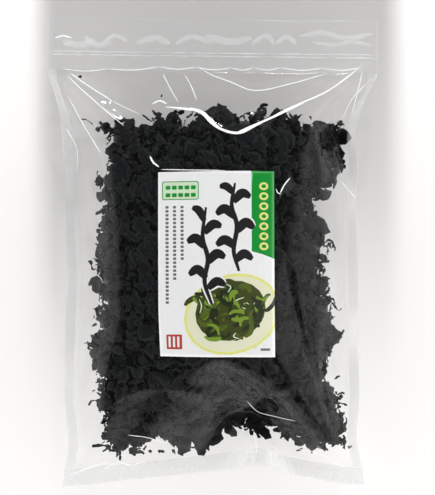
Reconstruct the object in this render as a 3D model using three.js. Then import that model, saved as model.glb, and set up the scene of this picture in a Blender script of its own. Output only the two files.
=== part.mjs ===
// A clear zip-top pouch of dried cut wakame, lying on its back with its paper label up.
//
// Millimetres. +Z is up, +Y runs along the pouch to its zip end, and +X is to its right, seen from
// above. The origin is on the surface that the pouch lies on, under the middle of its bounding box.
//
// The pouch is two rectangles of film, sealed to each other along both sides and the bottom, and
// shut at the top by a press-to-close zip. Its shape is that of the film pulled over the heap of
// wakame in it. The film bends but can't stretch, so the seals draw in where the heap is thick. The
// film is relaxed step by step from two flat sheets, as a net of points held at fixed distances.
import * as THREE from "three";

// Film
const POUCH_WIDTH = 200;
const POUCH_LENGTH = 289;
const SIDE_SEAL = 6;
const BOTTOM_SEAL = 10;
const HEADER = 33.5; // from the top edge down to where the two films part
const FLANGE = 0.8; // both films where they are sealed, thicker than the real 0.2
const GRID = 6.4; // widest spacing of the film's points

// Zip: two ridges on each face
const ZIP_FROM_TOP = 23;
const ZIP_RIDGE_SPACING = 2;
const ZIP_RIDGE_RISE = 0.9;
const ZIP_GROOVE_RISE = 0.3;

// Label
const LABEL_WIDTH = 68;
const LABEL_LENGTH = 108;
const LABEL_RIGHT = 2.8; // its middle, right of the pouch's middle
const LABEL_MIDDLE = 133.5; // up the film from the bottom edge
const LABEL_THICKNESS = 0.3;
const CLEARANCE = 0.3; // between the label and the film

// Heap of wakame
const HEAP_WIDTH = 158;
const HEAP_LENGTH = 191;
const HEAP_RIGHT = 1.5;
const HEAP_MIDDLE = 137; // up from the bottom edge of the flat film
const HEAP_TOP = 53;
const HEAP_WAIST = 25; // height of its widest outline
const HEAP_UNDER = 27; // how far its round underside would reach below the waist
const HEAP_CORNER = [3.2, 5]; // exponent of its outline, at its middle and at its lower end
const HEAP_CROWN = [3.2, 1.6]; // exponent of its crown, the same: less slopes down sooner
const HEAP_FORMS = [
  { x: -60, y: 93, rise: 9, radius: 27 }, // full at the lower left
  { x: -64, y: 183, rise: -9, radius: 26 }, // slack at the upper left
  { x: 68, y: 198, rise: -8, radius: 26 }, // and at the upper right
];
const LUMPS = 30;
const LUMP_RISE = 2.4;
const LUMP_RADIUS = [13, 26];

// How far out the side edges lie, at distances up the film: the contents draw them in
const SIDES = [
  { up: 0, left: -89.5, right: 93.6 },
  { up: 35, left: -88.8, right: 90.8 },
  { up: 55, left: -88.3, right: 89.8 },
  { up: 106, left: -87.8, right: 89.6 },
  { up: 126, left: -85.9, right: 89.4 },
  { up: 140, left: -87.3, right: 89 },
  { up: 176, left: -88.7, right: 88.3 },
  { up: 197, left: -88, right: 90.8 },
  { up: 221, left: -90.8, right: 93.3 },
  { up: 242, left: -94.5, right: 96.3 },
  { up: 255, left: -98.5, right: 99.5 },
];

// Near the bottom seal the film is puckered finer than the net, by this share of its width
const PUCKER = { share: 0.065, up: 23, halfLength: 24 };

// The fold that the bottom seal makes as its corners are drawn together
const FOLD_RIGHT = 28;
const FOLD_HALF_WIDTH = 18;
const FOLD_RISE = 16;
const FOLD_LENGTH = 25; // up from the bottom edge
const FOLD_FADE = 0.35; // share of its rise that it loses over the bottom seal
const FOLD_LIMP_REACH = 1.2; // in half widths of the fold, as is the next
const FOLD_STIFF_REACH = 1.5; // beyond it the bottom seal stays straight
const LEVEL_LENGTH = [35, 75]; // the seals are held level up to the first, and free past the second
const LEVEL_HOLD = 0.05;
const HEADER_HOLD = 0.05;
const HEADER_DROOP = 6;
const HEADER_SLOPE = -0.013; // of the zip's end, which isn't square to the pouch

// Bump in the flat films that starts the dent at the right shoulder
const DENT = { right: 97, up: 198, rise: 18, halfWidth: 10, halfLength: 20 };

// The pouch rests on four points of the back film, far apart. Between them it is flat and a hair
// higher, and outside them a little higher still, so that it doesn't rock.
const REST = { left: -31.5, right: 36.5, low: 82, high: 164 };
const REST_INSIDE_RISE = 0.02;
const REST_OUTSIDE_RISE = 0.15;

// Relaxing the film
const STEPS = 450;
const FILL_STEPS = 250; // steps over which the heap grows to its full height
const PASSES = 6;
const KEPT_SPEED = 0.96;
const GRAVITY = 0.0004;
const PRESSURE = 0.0001; // of the air shut in, per square millimetre
const FILM_PUSH = 0.08; // share of a shortening that the limp film takes out at each pass
const SEAL_PUSH = 0.7; // the same for the seals
const SHEAR_PULL = 0.5; // share of a diagonal's stretch that it takes out
const FILM_BEND = 0.25; // share of a bend that each takes out
const FOLD_BEND = 0.5;
const SEAL_BEND = 0.6;
const STIFF_BEND = 0.8; // of the zip's end and the label
const SMOOTHING = 2; // times that the relaxed film is smoothed
const SMOOTHING_SHARE = 0.5;

const TOUCH = 1e-6;

// Seeded random numbers from 0 to 1, so that each run gives the same lumps.
function seededRandom(seed) {
  let state = seed;
  return () => {
    state = (state + 0x6d2b79f5) | 0;
    let t = Math.imul(state ^ (state >>> 15), 1 | state);
    t = (t + Math.imul(t ^ (t >>> 7), 61 | t)) ^ t;
    return ((t ^ (t >>> 14)) >>> 0) / 4294967296;
  };
}

// Grid lines that hit every break, evenly spaced in between.
function gridLines(breaks) {
  const made = [breaks[0]];
  for (let k = 1; k < breaks.length; k++) {
    const from = breaks[k - 1];
    const count = Math.max(1, Math.floor((breaks[k] - from) / GRID + 0.5));
    for (let n = 1; n <= count; n++) made.push(from + ((breaks[k] - from) * n) / count);
  }
  return made;
}

const between = (value, low, high) => Math.min(Math.max(value, low), high);
const mix = (a, b, share) => a + (b - a) * share;

const halfWidth = POUCH_WIDTH / 2;
const labelLeft = LABEL_RIGHT - LABEL_WIDTH / 2;
const labelLow = LABEL_MIDDLE - LABEL_LENGTH / 2;
const headerLow = POUCH_LENGTH - HEADER;
const zipMiddle = POUCH_LENGTH - ZIP_FROM_TOP;
const zipRows = [-2, -1, 0, 1, 2].map((n) => zipMiddle + (n * ZIP_RIDGE_SPACING) / 2);

const columns = gridLines([
  -halfWidth,
  -halfWidth + SIDE_SEAL,
  labelLeft,
  labelLeft + LABEL_WIDTH,
  halfWidth - SIDE_SEAL,
  halfWidth,
]);
const rows = gridLines([
  0,
  BOTTOM_SEAL,
  labelLow,
  labelLow + LABEL_LENGTH,
  headerLow,
  ...zipRows,
  POUCH_LENGTH,
]);
const across = columns.length;
const along = rows.length;
const filmPoints = across * along;
const columnAt = (x) => columns.findIndex((c) => Math.abs(c - x) < TOUCH);
const rowAt = (y) => rows.findIndex((r) => Math.abs(r - y) < TOUCH);
const nearest = (lines, value) =>
  lines.reduce((best, l, n) => (Math.abs(l - value) < Math.abs(lines[best] - value) ? n : best), 0);

// How far across a point lies on the puckered sheet.
function sheetAcross(i, j) {
  const away = (rows[j] - PUCKER.up) / PUCKER.halfLength;
  return columns[i] * (1 - PUCKER.share * Math.exp(-away * away));
}

// Parts of the film, by column and row
const isHeader = (i, j) => rows[j] > headerLow - TOUCH;
const isBottomSeal = (i, j) => rows[j] < BOTTOM_SEAL + TOUCH;
const isSeal = (i, j) =>
  !isHeader(i, j) && (Math.abs(columns[i]) > halfWidth - SIDE_SEAL - TOUCH || isBottomSeal(i, j));
const isShut = (i, j) => isHeader(i, j) || isSeal(i, j);
const isLabelled = (i, j) =>
  columns[i] > labelLeft - TOUCH &&
  columns[i] < labelLeft + LABEL_WIDTH + TOUCH &&
  rows[j] > labelLow - TOUCH &&
  rows[j] < labelLow + LABEL_LENGTH + TOUCH;
const isByFold = (i, reach) => Math.abs(columns[i] - FOLD_RIGHT) < FOLD_HALF_WIDTH * reach;

// Heap of wakame: its lumps and its top and underside over a point of the ground.
const random = seededRandom(7);
const lumps = Array.from({ length: LUMPS }, () => ({
  x: HEAP_RIGHT + (random() - 0.5) * HEAP_WIDTH,
  y: HEAP_MIDDLE + (random() - 0.5) * HEAP_LENGTH,
  radius: LUMP_RADIUS[0] + random() * (LUMP_RADIUS[1] - LUMP_RADIUS[0]),
  rise: (random() * 2 - 1) * LUMP_RISE,
}));

function heapCrown(x, y) {
  const a = Math.abs(x - HEAP_RIGHT) / (HEAP_WIDTH / 2);
  const b = Math.abs(y - HEAP_MIDDLE) / (HEAP_LENGTH / 2);
  const low = between((HEAP_MIDDLE - y) / (HEAP_LENGTH / 2), 0, 1);
  const corner = mix(HEAP_CORNER[0], HEAP_CORNER[1], low);
  const r = (a ** corner + b ** corner) ** (1 / corner);
  return r < 1 ? Math.sqrt(1 - r ** mix(HEAP_CROWN[0], HEAP_CROWN[1], low)) : 0;
}

function heapTop(x, y, fill) {
  const crown = heapCrown(x, y);
  if (crown === 0) return -Infinity;
  let rise = HEAP_TOP - HEAP_WAIST;
  for (const lump of [...lumps, ...HEAP_FORMS]) {
    const away = (x - lump.x) ** 2 + (y - lump.y) ** 2;
    rise += lump.rise * Math.exp(-away / lump.radius ** 2);
  }
  return HEAP_WAIST + rise * crown * fill;
}

function heapUnderside(x, y, fill) {
  const crown = heapCrown(x, y);
  return crown === 0 ? Infinity : HEAP_WAIST - HEAP_UNDER * crown * fill;
}

// The lowest that a point of the film may come.
const restColumns = [nearest(columns, REST.left), nearest(columns, REST.right)];
const restRows = [nearest(rows, REST.low), nearest(rows, REST.high)];

function floorHeight(i, j) {
  if (restColumns.includes(i) && restRows.includes(j)) return FLANGE / 2;
  const isInside =
    i > restColumns[0] && i < restColumns[1] && j > restRows[0] && j < restRows[1];
  return FLANGE / 2 + (isInside ? REST_INSIDE_RISE : REST_OUTSIDE_RISE);
}

// How much of a shortening a place of the film takes out, and how much of a bend.
const pushAt = (i, j) => (isShut(i, j) ? SEAL_PUSH : FILM_PUSH);
const shearPushAt = (i, j) => (isShut(i, j) ? SEAL_PUSH / 2 : 0);

function bendAt(film, i, j, isUpward) {
  if (isHeader(i, j) || (film === 0 && isLabelled(i, j))) return STIFF_BEND;
  if (isUpward && rows[j] < FOLD_LENGTH && isByFold(i, FOLD_LIMP_REACH)) return FOLD_BEND;
  return isSeal(i, j) ? SEAL_BEND : FILM_BEND;
}

// The distances that the film keeps, in groups that share no point. pull is the share of a stretch
// that a pass takes out. Film gives way to being pushed together, by wrinkles too fine for the net.
function filmLinks() {
  const groups = [];

  function addLinks(di, dj, pull, push, isLinked = () => true) {
    const reach = Math.max(Math.abs(di), Math.abs(dj));
    for (const colour of [0, 1]) {
      const group = { pull, links: [] };
      for (const film of [0, 1])
        for (let j = 0; j + dj < along; j++)
          for (let i = Math.max(0, -di); i + Math.max(0, di) < across; i++) {
            const turn = Math.floor((di ? i : j) / reach) % 2;
            if (turn !== colour || !isLinked(i, j)) continue;
            const from = film * filmPoints + j * across + i;
            const dx = sheetAcross(i + di, j + dj) - sheetAcross(i, j);
            const dy = rows[j + dj] - rows[j];
            const length = Math.sqrt(dx * dx + dy * dy);
            group.links.push([from, from + dj * across + di, length, push(film, i, j, di, dj)]);
          }
      groups.push(group);
    }
  }

  const softer = (at) => (film, i, j, di, dj) => Math.min(at(i, j), at(i + di, j + dj));
  const bend = (film, i, j, di, dj) => bendAt(film, i, j, dj > 0);
  const isStiff = (i, j) => isHeader(i, j) || isLabelled(i, j);
  const isSideSeal = (i, j) => isSeal(i, j) && !isBottomSeal(i, j);
  const isOffFold = (i, j) => isBottomSeal(i, j) && !isByFold(i, FOLD_STIFF_REACH);

  addLinks(1, 0, 1, softer(pushAt));
  addLinks(0, 1, 1, softer(pushAt));
  addLinks(1, 1, SHEAR_PULL, softer(shearPushAt));
  addLinks(-1, 1, SHEAR_PULL, softer(shearPushAt));
  addLinks(2, 0, 0, bend);
  addLinks(0, 2, 0, bend);
  addLinks(5, 0, 0, () => STIFF_BEND, isStiff);
  addLinks(0, 4, 0, () => STIFF_BEND, isStiff);
  addLinks(0, 4, 0, () => SEAL_BEND, isSideSeal);
  addLinks(10, 0, 0, () => STIFF_BEND, isHeader);
  addLinks(5, 0, 0, () => SEAL_BEND, isOffFold);
  return groups;
}

// The side limits of a row, or nothing above the last of them.
function sideLimits(j) {
  const n = SIDES.findIndex((side) => side.up > rows[j]);
  if (n < 0) return null;
  const [low, high] = [SIDES[n - 1], SIDES[n]];
  const share = (rows[j] - low.up) / (high.up - low.up);
  return [mix(low.left, high.left, share), mix(low.right, high.right, share)];
}

// The height that the flat parts of the film are held to, and how firmly.
function heldHeight(i, j) {
  const droop = HEADER_DROOP * between((rows[j] - headerLow) / HEADER, 0, 1);
  const away = (columns[i] - FOLD_RIGHT) / FOLD_HALF_WIDTH;
  const fold = isBottomSeal(i, j) ? 1 - (FOLD_FADE * rows[j]) / BOTTOM_SEAL : 0;
  return HEAP_WAIST - droop + FOLD_RISE * Math.exp(-away * away) * fold;
}

function heldShare(i, j) {
  if (isHeader(i, j)) return HEADER_HOLD;
  const [level, free] = LEVEL_LENGTH;
  return isSeal(i, j) ? LEVEL_HOLD * between((free - rows[j]) / (free - level), 0, 1) : 0;
}

// The relaxed net: three coordinates for each point of the front film and then of the back film.
function relaxFilm() {
  const at = new Float64Array(3 * 2 * filmPoints);
  const before = new Float64Array(at.length);
  const pushed = new Float64Array(at.length);
  const groups = filmLinks();
  const shut = [];
  const held = [];
  const limited = [];
  const headerRows = rows.map((_, j) => j).filter((j) => isHeader(0, j));

  for (let j = 0; j < along; j++) {
    if (sideLimits(j)) limited.push([j, ...sideLimits(j)]);
    for (let i = 0; i < across; i++) {
      const k = 3 * (j * across + i);
      const dx = (columns[i] - DENT.right) / DENT.halfWidth;
      const dy = (rows[j] - DENT.up) / DENT.halfLength;
      const dent = DENT.rise * Math.exp(-dx * dx - dy * dy);
      for (const film of [k, k + 3 * filmPoints]) {
        at[film] = sheetAcross(i, j);
        at[film + 1] = rows[j];
        at[film + 2] = HEAP_WAIST + dent;
        if (heldShare(i, j)) held.push([film + 2, heldHeight(i, j), heldShare(i, j)]);
      }
      if (isShut(i, j)) shut.push(k);
    }
  }
  before.set(at);

  function addPressure(film, sign) {
    pushed.fill(0);
    for (let j = 0; j + 1 < along; j++)
      for (let i = 0; i + 1 < across; i++) {
        const a = 3 * (film * filmPoints + j * across + i);
        const [b, c, d] = [a + 3, a + 3 * across + 3, a + 3 * across];
        const [ux, uy, uz] = [0, 1, 2].map((n) => at[c + n] - at[a + n]);
        const [vx, vy, vz] = [0, 1, 2].map((n) => at[d + n] - at[b + n]);
        const share = (sign * PRESSURE) / 8;
        for (const p of [a, b, c, d]) {
          pushed[p] += (uy * vz - uz * vy) * share;
          pushed[p + 1] += (uz * vx - ux * vz) * share;
          pushed[p + 2] += (ux * vy - uy * vx) * share;
        }
      }
    for (let k = 0; k < at.length; k++) at[k] += pushed[k];
  }

  // Moves two points towards or away from each other.
  function draw(a, b, length, pull, push) {
    const dx = at[b] - at[a];
    const dy = at[b + 1] - at[a + 1];
    const dz = at[b + 2] - at[a + 2];
    const now = Math.sqrt(dx * dx + dy * dy + dz * dz);
    const share = ((now - length) / now) * 0.5 * (now > length ? pull : push);
    at[a] += dx * share;
    at[a + 1] += dy * share;
    at[a + 2] += dz * share;
    at[b] -= dx * share;
    at[b + 1] -= dy * share;
    at[b + 2] -= dz * share;
  }

  // Keeps each row of the zip's end on its slope.
  function turnHeader() {
    for (const j of headerRows)
      for (const film of [0, 1]) {
        const first = 3 * (film * filmPoints + j * across);
        const row = columns.map((_, i) => first + 3 * i);
        const middle = row.reduce((sum, k) => sum + at[k + 1], 0) / across;
        for (const k of row) at[k + 1] += HEADER_HOLD * (middle + HEADER_SLOPE * at[k] - at[k + 1]);
      }
  }

  function keepLengths(fill) {
    for (const { pull, links } of groups)
      for (const [p, q, length, push] of links) draw(3 * p, 3 * q, length, pull, push);
    for (const k of shut)
      for (const n of [k, k + 1, k + 2]) {
        const joined = 0.5 * (at[n] + at[n + 3 * filmPoints]);
        at[n] = joined;
        at[n + 3 * filmPoints] = joined;
      }
    for (const [k, height, share] of held) at[k] += share * (height - at[k]);
    turnHeader();
    for (const [j, left, right] of limited)
      for (const film of [0, 1]) {
        const a = 3 * (film * filmPoints + j * across);
        const b = a + 3 * (across - 1);
        at[a] = Math.max(at[a], mix(-halfWidth, left, fill));
        at[b] = Math.min(at[b], mix(halfWidth, right, fill));
      }
  }

  function keepClearOfHeap(fill) {
    for (let j = 0; j < along; j++)
      for (let i = 0; i < across; i++) {
        const f = 3 * (j * across + i);
        const b = f + 3 * filmPoints;
        if (!isShut(i, j)) {
          at[f + 2] = Math.max(at[f + 2], heapTop(at[f], at[f + 1], fill), at[b + 2]);
          at[b + 2] = Math.min(at[b + 2], heapUnderside(at[b], at[b + 1], fill));
        }
        at[f + 2] = Math.max(at[f + 2], floorHeight(i, j));
        at[b + 2] = Math.max(at[b + 2], floorHeight(i, j));
      }
  }

  for (let step = 0; step < STEPS; step++) {
    const fill = Math.min(1, step / FILL_STEPS);
    for (let k = 0; k < at.length; k++) {
      const speed = (at[k] - before[k]) * KEPT_SPEED;
      before[k] = at[k];
      at[k] += speed;
      if (k % 3 === 2) at[k] -= GRAVITY;
    }
    addPressure(0, 1);
    addPressure(1, -1);
    for (let pass = 0; pass < PASSES; pass++) keepLengths(fill);
    keepClearOfHeap(fill);
  }
  return at;
}

// One film as a grid of points and normals that point up, smoothed a little inside its edge.
function filmSurface(at, film) {
  let grid = rows.map((_, j) =>
    columns.map((_, i) => {
      return new THREE.Vector3().fromArray(at, 3 * (film * filmPoints + j * across + i));
    }),
  );
  for (let turn = 0; turn < SMOOTHING; turn++)
    grid = grid.map((line, j) =>
      line.map((p, i) => {
        if (isShut(i, j)) return p;
        const around = grid[j][i - 1].clone().add(grid[j][i + 1]);
        around.add(grid[j - 1][i]).add(grid[j + 1][i]).multiplyScalar(0.25);
        return p.clone().lerp(around, p.z < FLANGE ? 0 : SMOOTHING_SHARE);
      }),
    );
  const normals = grid.map((line, j) =>
    line.map((_, i) => {
      const left = grid[j][Math.max(i - 1, 0)];
      const right = grid[j][Math.min(i + 1, across - 1)];
      const low = grid[Math.max(j - 1, 0)][i];
      const high = grid[Math.min(j + 1, along - 1)][i];
      return right.clone().sub(left).cross(high.clone().sub(low)).normalize();
    }),
  );
  return { grid, normals };
}

// The surface moved out along its normals by offset(i, j).
function movedOut({ grid, normals }, offset) {
  return grid.map((line, j) =>
    line.map((p, i) => p.clone().addScaledVector(normals[j][i], offset(i, j))),
  );
}

// A closed solid between two grids of the same size, over the given columns and rows.
function solidBetween(top, bottom, [i0, i1], [j0, j1], material, name) {
  const positions = [];
  const triangle = (...points) => points.forEach((p) => positions.push(p.x, p.y, p.z));
  const quad = (a, b, c, d) => {
    if (a.distanceTo(c) < b.distanceTo(d)) {
      triangle(a, b, c);
      triangle(a, c, d);
    } else {
      triangle(a, b, d);
      triangle(b, c, d);
    }
  };
  for (let j = j0; j < j1; j++)
    for (let i = i0; i < i1; i++) {
      quad(top[j][i], top[j][i + 1], top[j + 1][i + 1], top[j + 1][i]);
      quad(bottom[j][i], bottom[j + 1][i], bottom[j + 1][i + 1], bottom[j][i + 1]);
    }
  for (let i = i0; i < i1; i++) {
    quad(bottom[j0][i], bottom[j0][i + 1], top[j0][i + 1], top[j0][i]);
    quad(bottom[j1][i + 1], bottom[j1][i], top[j1][i], top[j1][i + 1]);
  }
  for (let j = j0; j < j1; j++) {
    quad(bottom[j + 1][i0], bottom[j][i0], top[j][i0], top[j + 1][i0]);
    quad(bottom[j][i1], bottom[j + 1][i1], top[j + 1][i1], top[j][i1]);
  }
  const geometry = new THREE.BufferGeometry();
  geometry.setAttribute("position", new THREE.Float32BufferAttribute(positions, 3));
  geometry.computeVertexNormals();
  const mesh = new THREE.Mesh(geometry, material);
  mesh.name = name;
  return mesh;
}

// How far the zip stands out from the film at a grid point.
function zipRise(i, j) {
  if (i === 0 || i === across - 1) return 0;
  const [, lowRidge, groove, highRidge] = zipRows.map(rowAt);
  if (j === groove) return ZIP_GROOVE_RISE;
  return j === lowRidge || j === highRidge ? ZIP_RIDGE_RISE : 0;
}

function makePouch(front, back) {
  const material = new THREE.MeshStandardMaterial({ color: 0x262a26, roughness: 0.15 });
  const top = movedOut(front, (i, j) => FLANGE / 2 + zipRise(i, j));
  const bottom = movedOut(back, (i, j) => -FLANGE / 2 - zipRise(i, j));
  return solidBetween(top, bottom, [0, across - 1], [0, along - 1], material, "pouch");
}

function makeLabel(front) {
  const material = new THREE.MeshStandardMaterial({ color: 0xf2f0ee, roughness: 0.35 });
  const under = movedOut(front, () => FLANGE / 2 + CLEARANCE);
  const over = movedOut(front, () => FLANGE / 2 + CLEARANCE + LABEL_THICKNESS);
  const labelColumns = [columnAt(labelLeft), columnAt(labelLeft + LABEL_WIDTH)];
  const labelRows = [rowAt(labelLow), rowAt(labelLow + LABEL_LENGTH)];
  return solidBetween(over, under, labelColumns, labelRows, material, "label");
}

const net = relaxFilm();
const frontFilm = filmSurface(net, 0);
const backFilm = filmSurface(net, 1);

const pack = new THREE.Group();
pack.add(makePouch(frontFilm, backFilm));
pack.add(makeLabel(frontFilm));

// The bounding box's middle goes over the origin. Its underside is at 0 already.
const middle = new THREE.Box3().setFromObject(pack).getCenter(new THREE.Vector3());
pack.position.set(-middle.x, -middle.y, 0);

export default pack;
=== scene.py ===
"""A clear zip-top pouch of dried cut wakame, lying on its back: its looks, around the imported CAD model.

Sizes are millimetres, and become metres when a mesh is made. A place on the film is given as on the
flat sheet: across from its middle, and up from its bottom edge. The film is relaxed over the heap as
the CAD model's is, then again on a finer net, where it wrinkles.
"""

import math

import bpy
import numpy as np
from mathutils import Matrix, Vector
from mathutils.bvhtree import BVHTree
from mathutils.geometry import delaunay_2d_cdt


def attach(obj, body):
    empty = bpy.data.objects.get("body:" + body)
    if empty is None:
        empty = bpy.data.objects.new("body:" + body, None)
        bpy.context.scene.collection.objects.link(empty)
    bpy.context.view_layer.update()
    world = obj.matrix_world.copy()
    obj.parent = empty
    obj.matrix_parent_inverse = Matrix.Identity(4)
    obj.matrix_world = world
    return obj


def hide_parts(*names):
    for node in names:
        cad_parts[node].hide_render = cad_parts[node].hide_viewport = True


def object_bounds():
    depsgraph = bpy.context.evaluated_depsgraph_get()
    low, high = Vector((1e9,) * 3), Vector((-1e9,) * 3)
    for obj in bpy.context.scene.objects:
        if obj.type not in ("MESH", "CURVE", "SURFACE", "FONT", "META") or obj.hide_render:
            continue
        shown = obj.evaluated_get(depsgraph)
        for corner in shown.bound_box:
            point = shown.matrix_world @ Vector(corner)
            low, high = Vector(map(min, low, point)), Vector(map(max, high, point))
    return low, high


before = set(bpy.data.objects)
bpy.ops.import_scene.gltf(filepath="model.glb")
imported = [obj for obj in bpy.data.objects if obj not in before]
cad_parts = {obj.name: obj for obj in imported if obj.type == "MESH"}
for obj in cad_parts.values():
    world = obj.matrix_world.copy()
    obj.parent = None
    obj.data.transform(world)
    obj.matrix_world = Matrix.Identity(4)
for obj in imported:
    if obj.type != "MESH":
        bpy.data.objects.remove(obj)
cad_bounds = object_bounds()
MM = 0.001

# ---------------------------------------------------------------- the pouch, as in the CAD model

POUCH_WIDTH = 200
POUCH_LENGTH = 289
SIDE_SEAL = 6
BOTTOM_SEAL = 10
HEADER = 33.5
FLANGE = 0.8
GRID = 6.4
ZIP_FROM_TOP = 23
ZIP_RIDGE_SPACING = 2

LABEL_WIDTH = 68
LABEL_LENGTH = 108
LABEL_RIGHT = 2.8
LABEL_MIDDLE = 133.5

HEAP_WIDTH = 158
HEAP_LENGTH = 191
HEAP_RIGHT = 1.5
HEAP_MIDDLE = 137
HEAP_TOP = 53
HEAP_WAIST = 25
HEAP_UNDER = 27
HEAP_CORNER = (3.2, 5)
HEAP_CROWN = (3.2, 1.6)
HEAP_FORMS = [(-60, 93, 27, 9), (-64, 183, 26, -9), (68, 198, 26, -8)]  # x, y, radius and rise
LUMPS = 30
LUMP_RISE = 2.4
LUMP_RADIUS = (13, 26)
LUMP_SEED = 7

SIDES = {
    "up": (0, 35, 55, 106, 126, 140, 176, 197, 221, 242, 255),
    "left": (-89.5, -88.8, -88.3, -87.8, -85.9, -87.3, -88.7, -88, -90.8, -94.5, -98.5),
    "right": (93.6, 90.8, 89.8, 89.6, 89.4, 89, 88.3, 90.8, 93.3, 96.3, 99.5),
}
PUCKER = {"share": 0.065, "up": 23, "half_length": 24}
FOLD_RIGHT = 28
FOLD_HALF_WIDTH = 18
FOLD_RISE = 16
FOLD_LENGTH = 25
FOLD_FADE = 0.35
FOLD_LIMP_REACH = 1.2
FOLD_STIFF_REACH = 1.5
LEVEL_LENGTH = (35, 75)
LEVEL_HOLD = 0.05
HEADER_HOLD = 0.05
HEADER_DROOP = 6
HEADER_SLOPE = -0.013
DENT = {"right": 97, "up": 198, "rise": 18, "half_width": 10, "half_length": 20}

REST = {"left": -31.5, "right": 36.5, "low": 82, "high": 164}
REST_INSIDE_RISE = 0.02
REST_OUTSIDE_RISE = 0.15

STEPS = 450
FILL_STEPS = 250
PASSES = 6
KEPT_SPEED = 0.96
GRAVITY = 0.0004
PRESSURE = 0.0001
FILM_PUSH = 0.08
SEAL_PUSH = 0.7
SHEAR_PULL = 0.5
FILM_BEND = 0.25
FOLD_BEND = 0.5
SEAL_BEND = 0.6
STIFF_BEND = 0.8

TOUCH = 1e-6
TINY = 1e-9
HALF_WIDTH = POUCH_WIDTH / 2
LABEL_LEFT = LABEL_RIGHT - LABEL_WIDTH / 2
LABEL_LOW = LABEL_MIDDLE - LABEL_LENGTH / 2
HEADER_LOW = POUCH_LENGTH - HEADER
ZIP_MIDDLE = POUCH_LENGTH - ZIP_FROM_TOP

# ---------------------------------------------------------------- the finer film

FINE_GRID = 1.25
FINE_STEPS = 70
FINE_PASSES = 4
FINE_PUSH = 0.4
FINE_SHEAR = 0.5  # share of that push that the diagonals have
FINE_LABEL_PUSH = 0.03
FINE_BEND = 0.35
FINE_GRAVITY = 0.0001
FINE_HOLD = 0.25  # of the header and the seals, to where the coarse net has them
FINE_NOISE = {"rise": 0.12, "size": 5}
FINE_BUMPS = {"rise": 0.14, "size": 4}  # on the heap's top
FINE_SEED = 11
FINE_SMOOTHING = 10  # times that the relaxed film is smoothed
SMOOTHING_SHARE = 0.5  # how far each time
FILM_HALF_GAP = 0.12  # from the middle of a seal to each film
LABEL_GAP = 0.25
LABEL_THICKNESS = 0.15
ZIP_ENDS = {"left": 3, "right": 1}  # how far inside the film's edges the rails end
ZIP_RIDGE = {"half_width": 0.5, "foot": 0.15, "rise": 0.7}
ZIP_STATIONS = 120
ZIP_TURNS = 7

HEIGHT_LOW = (-104.0, -150.0)  # lower left corner of the raster of the films' heights
HEIGHT_COUNT = (209, 301)  # its columns and rows
HEIGHT_CELL = 1.0
CONTENTS_GAP = 0.35  # between the film and the pieces
RASTER_EDGE = 1.001  # cells kept from the raster's far edge, to have one more to blend with
SKY = 200.0  # a height above everything, that rays start from

# ---------------------------------------------------------------- the photograph

IMAGE_WIDTH = 435
IMAGE_HEIGHT = 495
MM_PER_PIXEL = 0.608
SUBJECT_HEIGHT = 18  # above the ground, where that scale holds
CAMERA_DISTANCE = 900
POUCH_PIXEL = (212.5, 250.8)  # where the middle of the pouch is in the photograph
SENSOR_WIDTH = 36
CLIP = (0.05, 20)  # in metres
SEEN_ROUNDS = 4  # of finding the place on the film that a pixel shows
EYE = np.array([
    (IMAGE_WIDTH / 2 - POUCH_PIXEL[0]) * MM_PER_PIXEL,
    (POUCH_PIXEL[1] - IMAGE_HEIGHT / 2) * MM_PER_PIXEL,
    SUBJECT_HEIGHT + CAMERA_DISTANCE,
])

# ---------------------------------------------------------------- finishes and light

FILM_CLEAR = 0.985  # share of light that a film lets through
FILM_MILK = 0.003
FILM_HEADER_MILK = 0.06
FILM_SEAL_MILK = 0.16
FILM_CRIMP_MILK = 0.1
FILM_GLOSS = 0.017  # share of light that it reflects head on
FILM_EDGE_GLOSS = 0.85  # and what is added to it edge on
MILK_WHITE = 0.93
ZIP_CLEAR = 0.93
PAINTED_HIGHLIGHT_AND_ZIP_WHITE = 0.95  # white of the painted highlights on the creases, and the milk of the zip
PAINTED_HIGHLIGHT_SHARE = {"least": 0.5, "patches": 0.8}  # of the light that a painted highlight stops
CREST_RISE = 0.06
RIB_EDGE_RISE = 0.01  # of a crest's two edges over the film
RIB_END = 0.25  # share of a crest's width that it has at its ends
# glow of the painted highlights on the creases, which are no lamp
PAINTED_HIGHLIGHT_GLOW = 0.28
# share of the light that the painted highlights on the zip's end stop
HEADER_HIGHLIGHT_SHARE = 0.12
ZIP_MILK = 1.0
WAKAME_BLACK = (0.001, 0.0012, 0.0013)
WAKAME_BLUE = (0.002, 0.0028, 0.0034)
WAKAME_GREEN = (0.003, 0.0042, 0.003)
WAKAME_OLIVE = (0.009, 0.011, 0.004)
WAKAME_BETWEEN = {0.45: WAKAME_BLUE, 0.75: WAKAME_GREEN, 0.92: WAKAME_GREEN}  # by share of pieces
WAKAME_TONE = {"dark": 0.1, "range": 1.8}  # of its blotches
WAKAME_SPECULAR = 0.18
PRINT_COAT = 0.3
PRINT_DARK = 0.93  # of the print's mottling, as a share of its colour
ROUGHNESS = {"film": 0.07, "crest": 0.2, "zip": 0.15, "wakame": 0.5, "print": 0.38, "floor": 0.7}
# Noise textures, as waves to a metre and how many finer layers they have, and bumps in metres
FILM_CRIMP = (500.0, 2.0)
CRIMP_BUMP = {"Strength": 0.2, "Distance": 0.0003}
# patches in the painted highlights on the creases
PAINTED_HIGHLIGHT_PATCHES = (120.0, 2.0)
ZIP_CLOUD = (60.0, 2.0)
WAKAME_BLOTCHES = (200.0, 3.0)
WAKAME_VEINS = (500.0, 2.0)
VEIN_BUMP = {"Strength": 0.6, "Distance": 0.0005}
PRINT_MOTTLE = (350.0, 5.0)
FLOOR_COLOUR = (0.59, 0.577, 0.565)
FLOOR_GLOW_COLOUR = (1, 0.985, 0.97)
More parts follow.
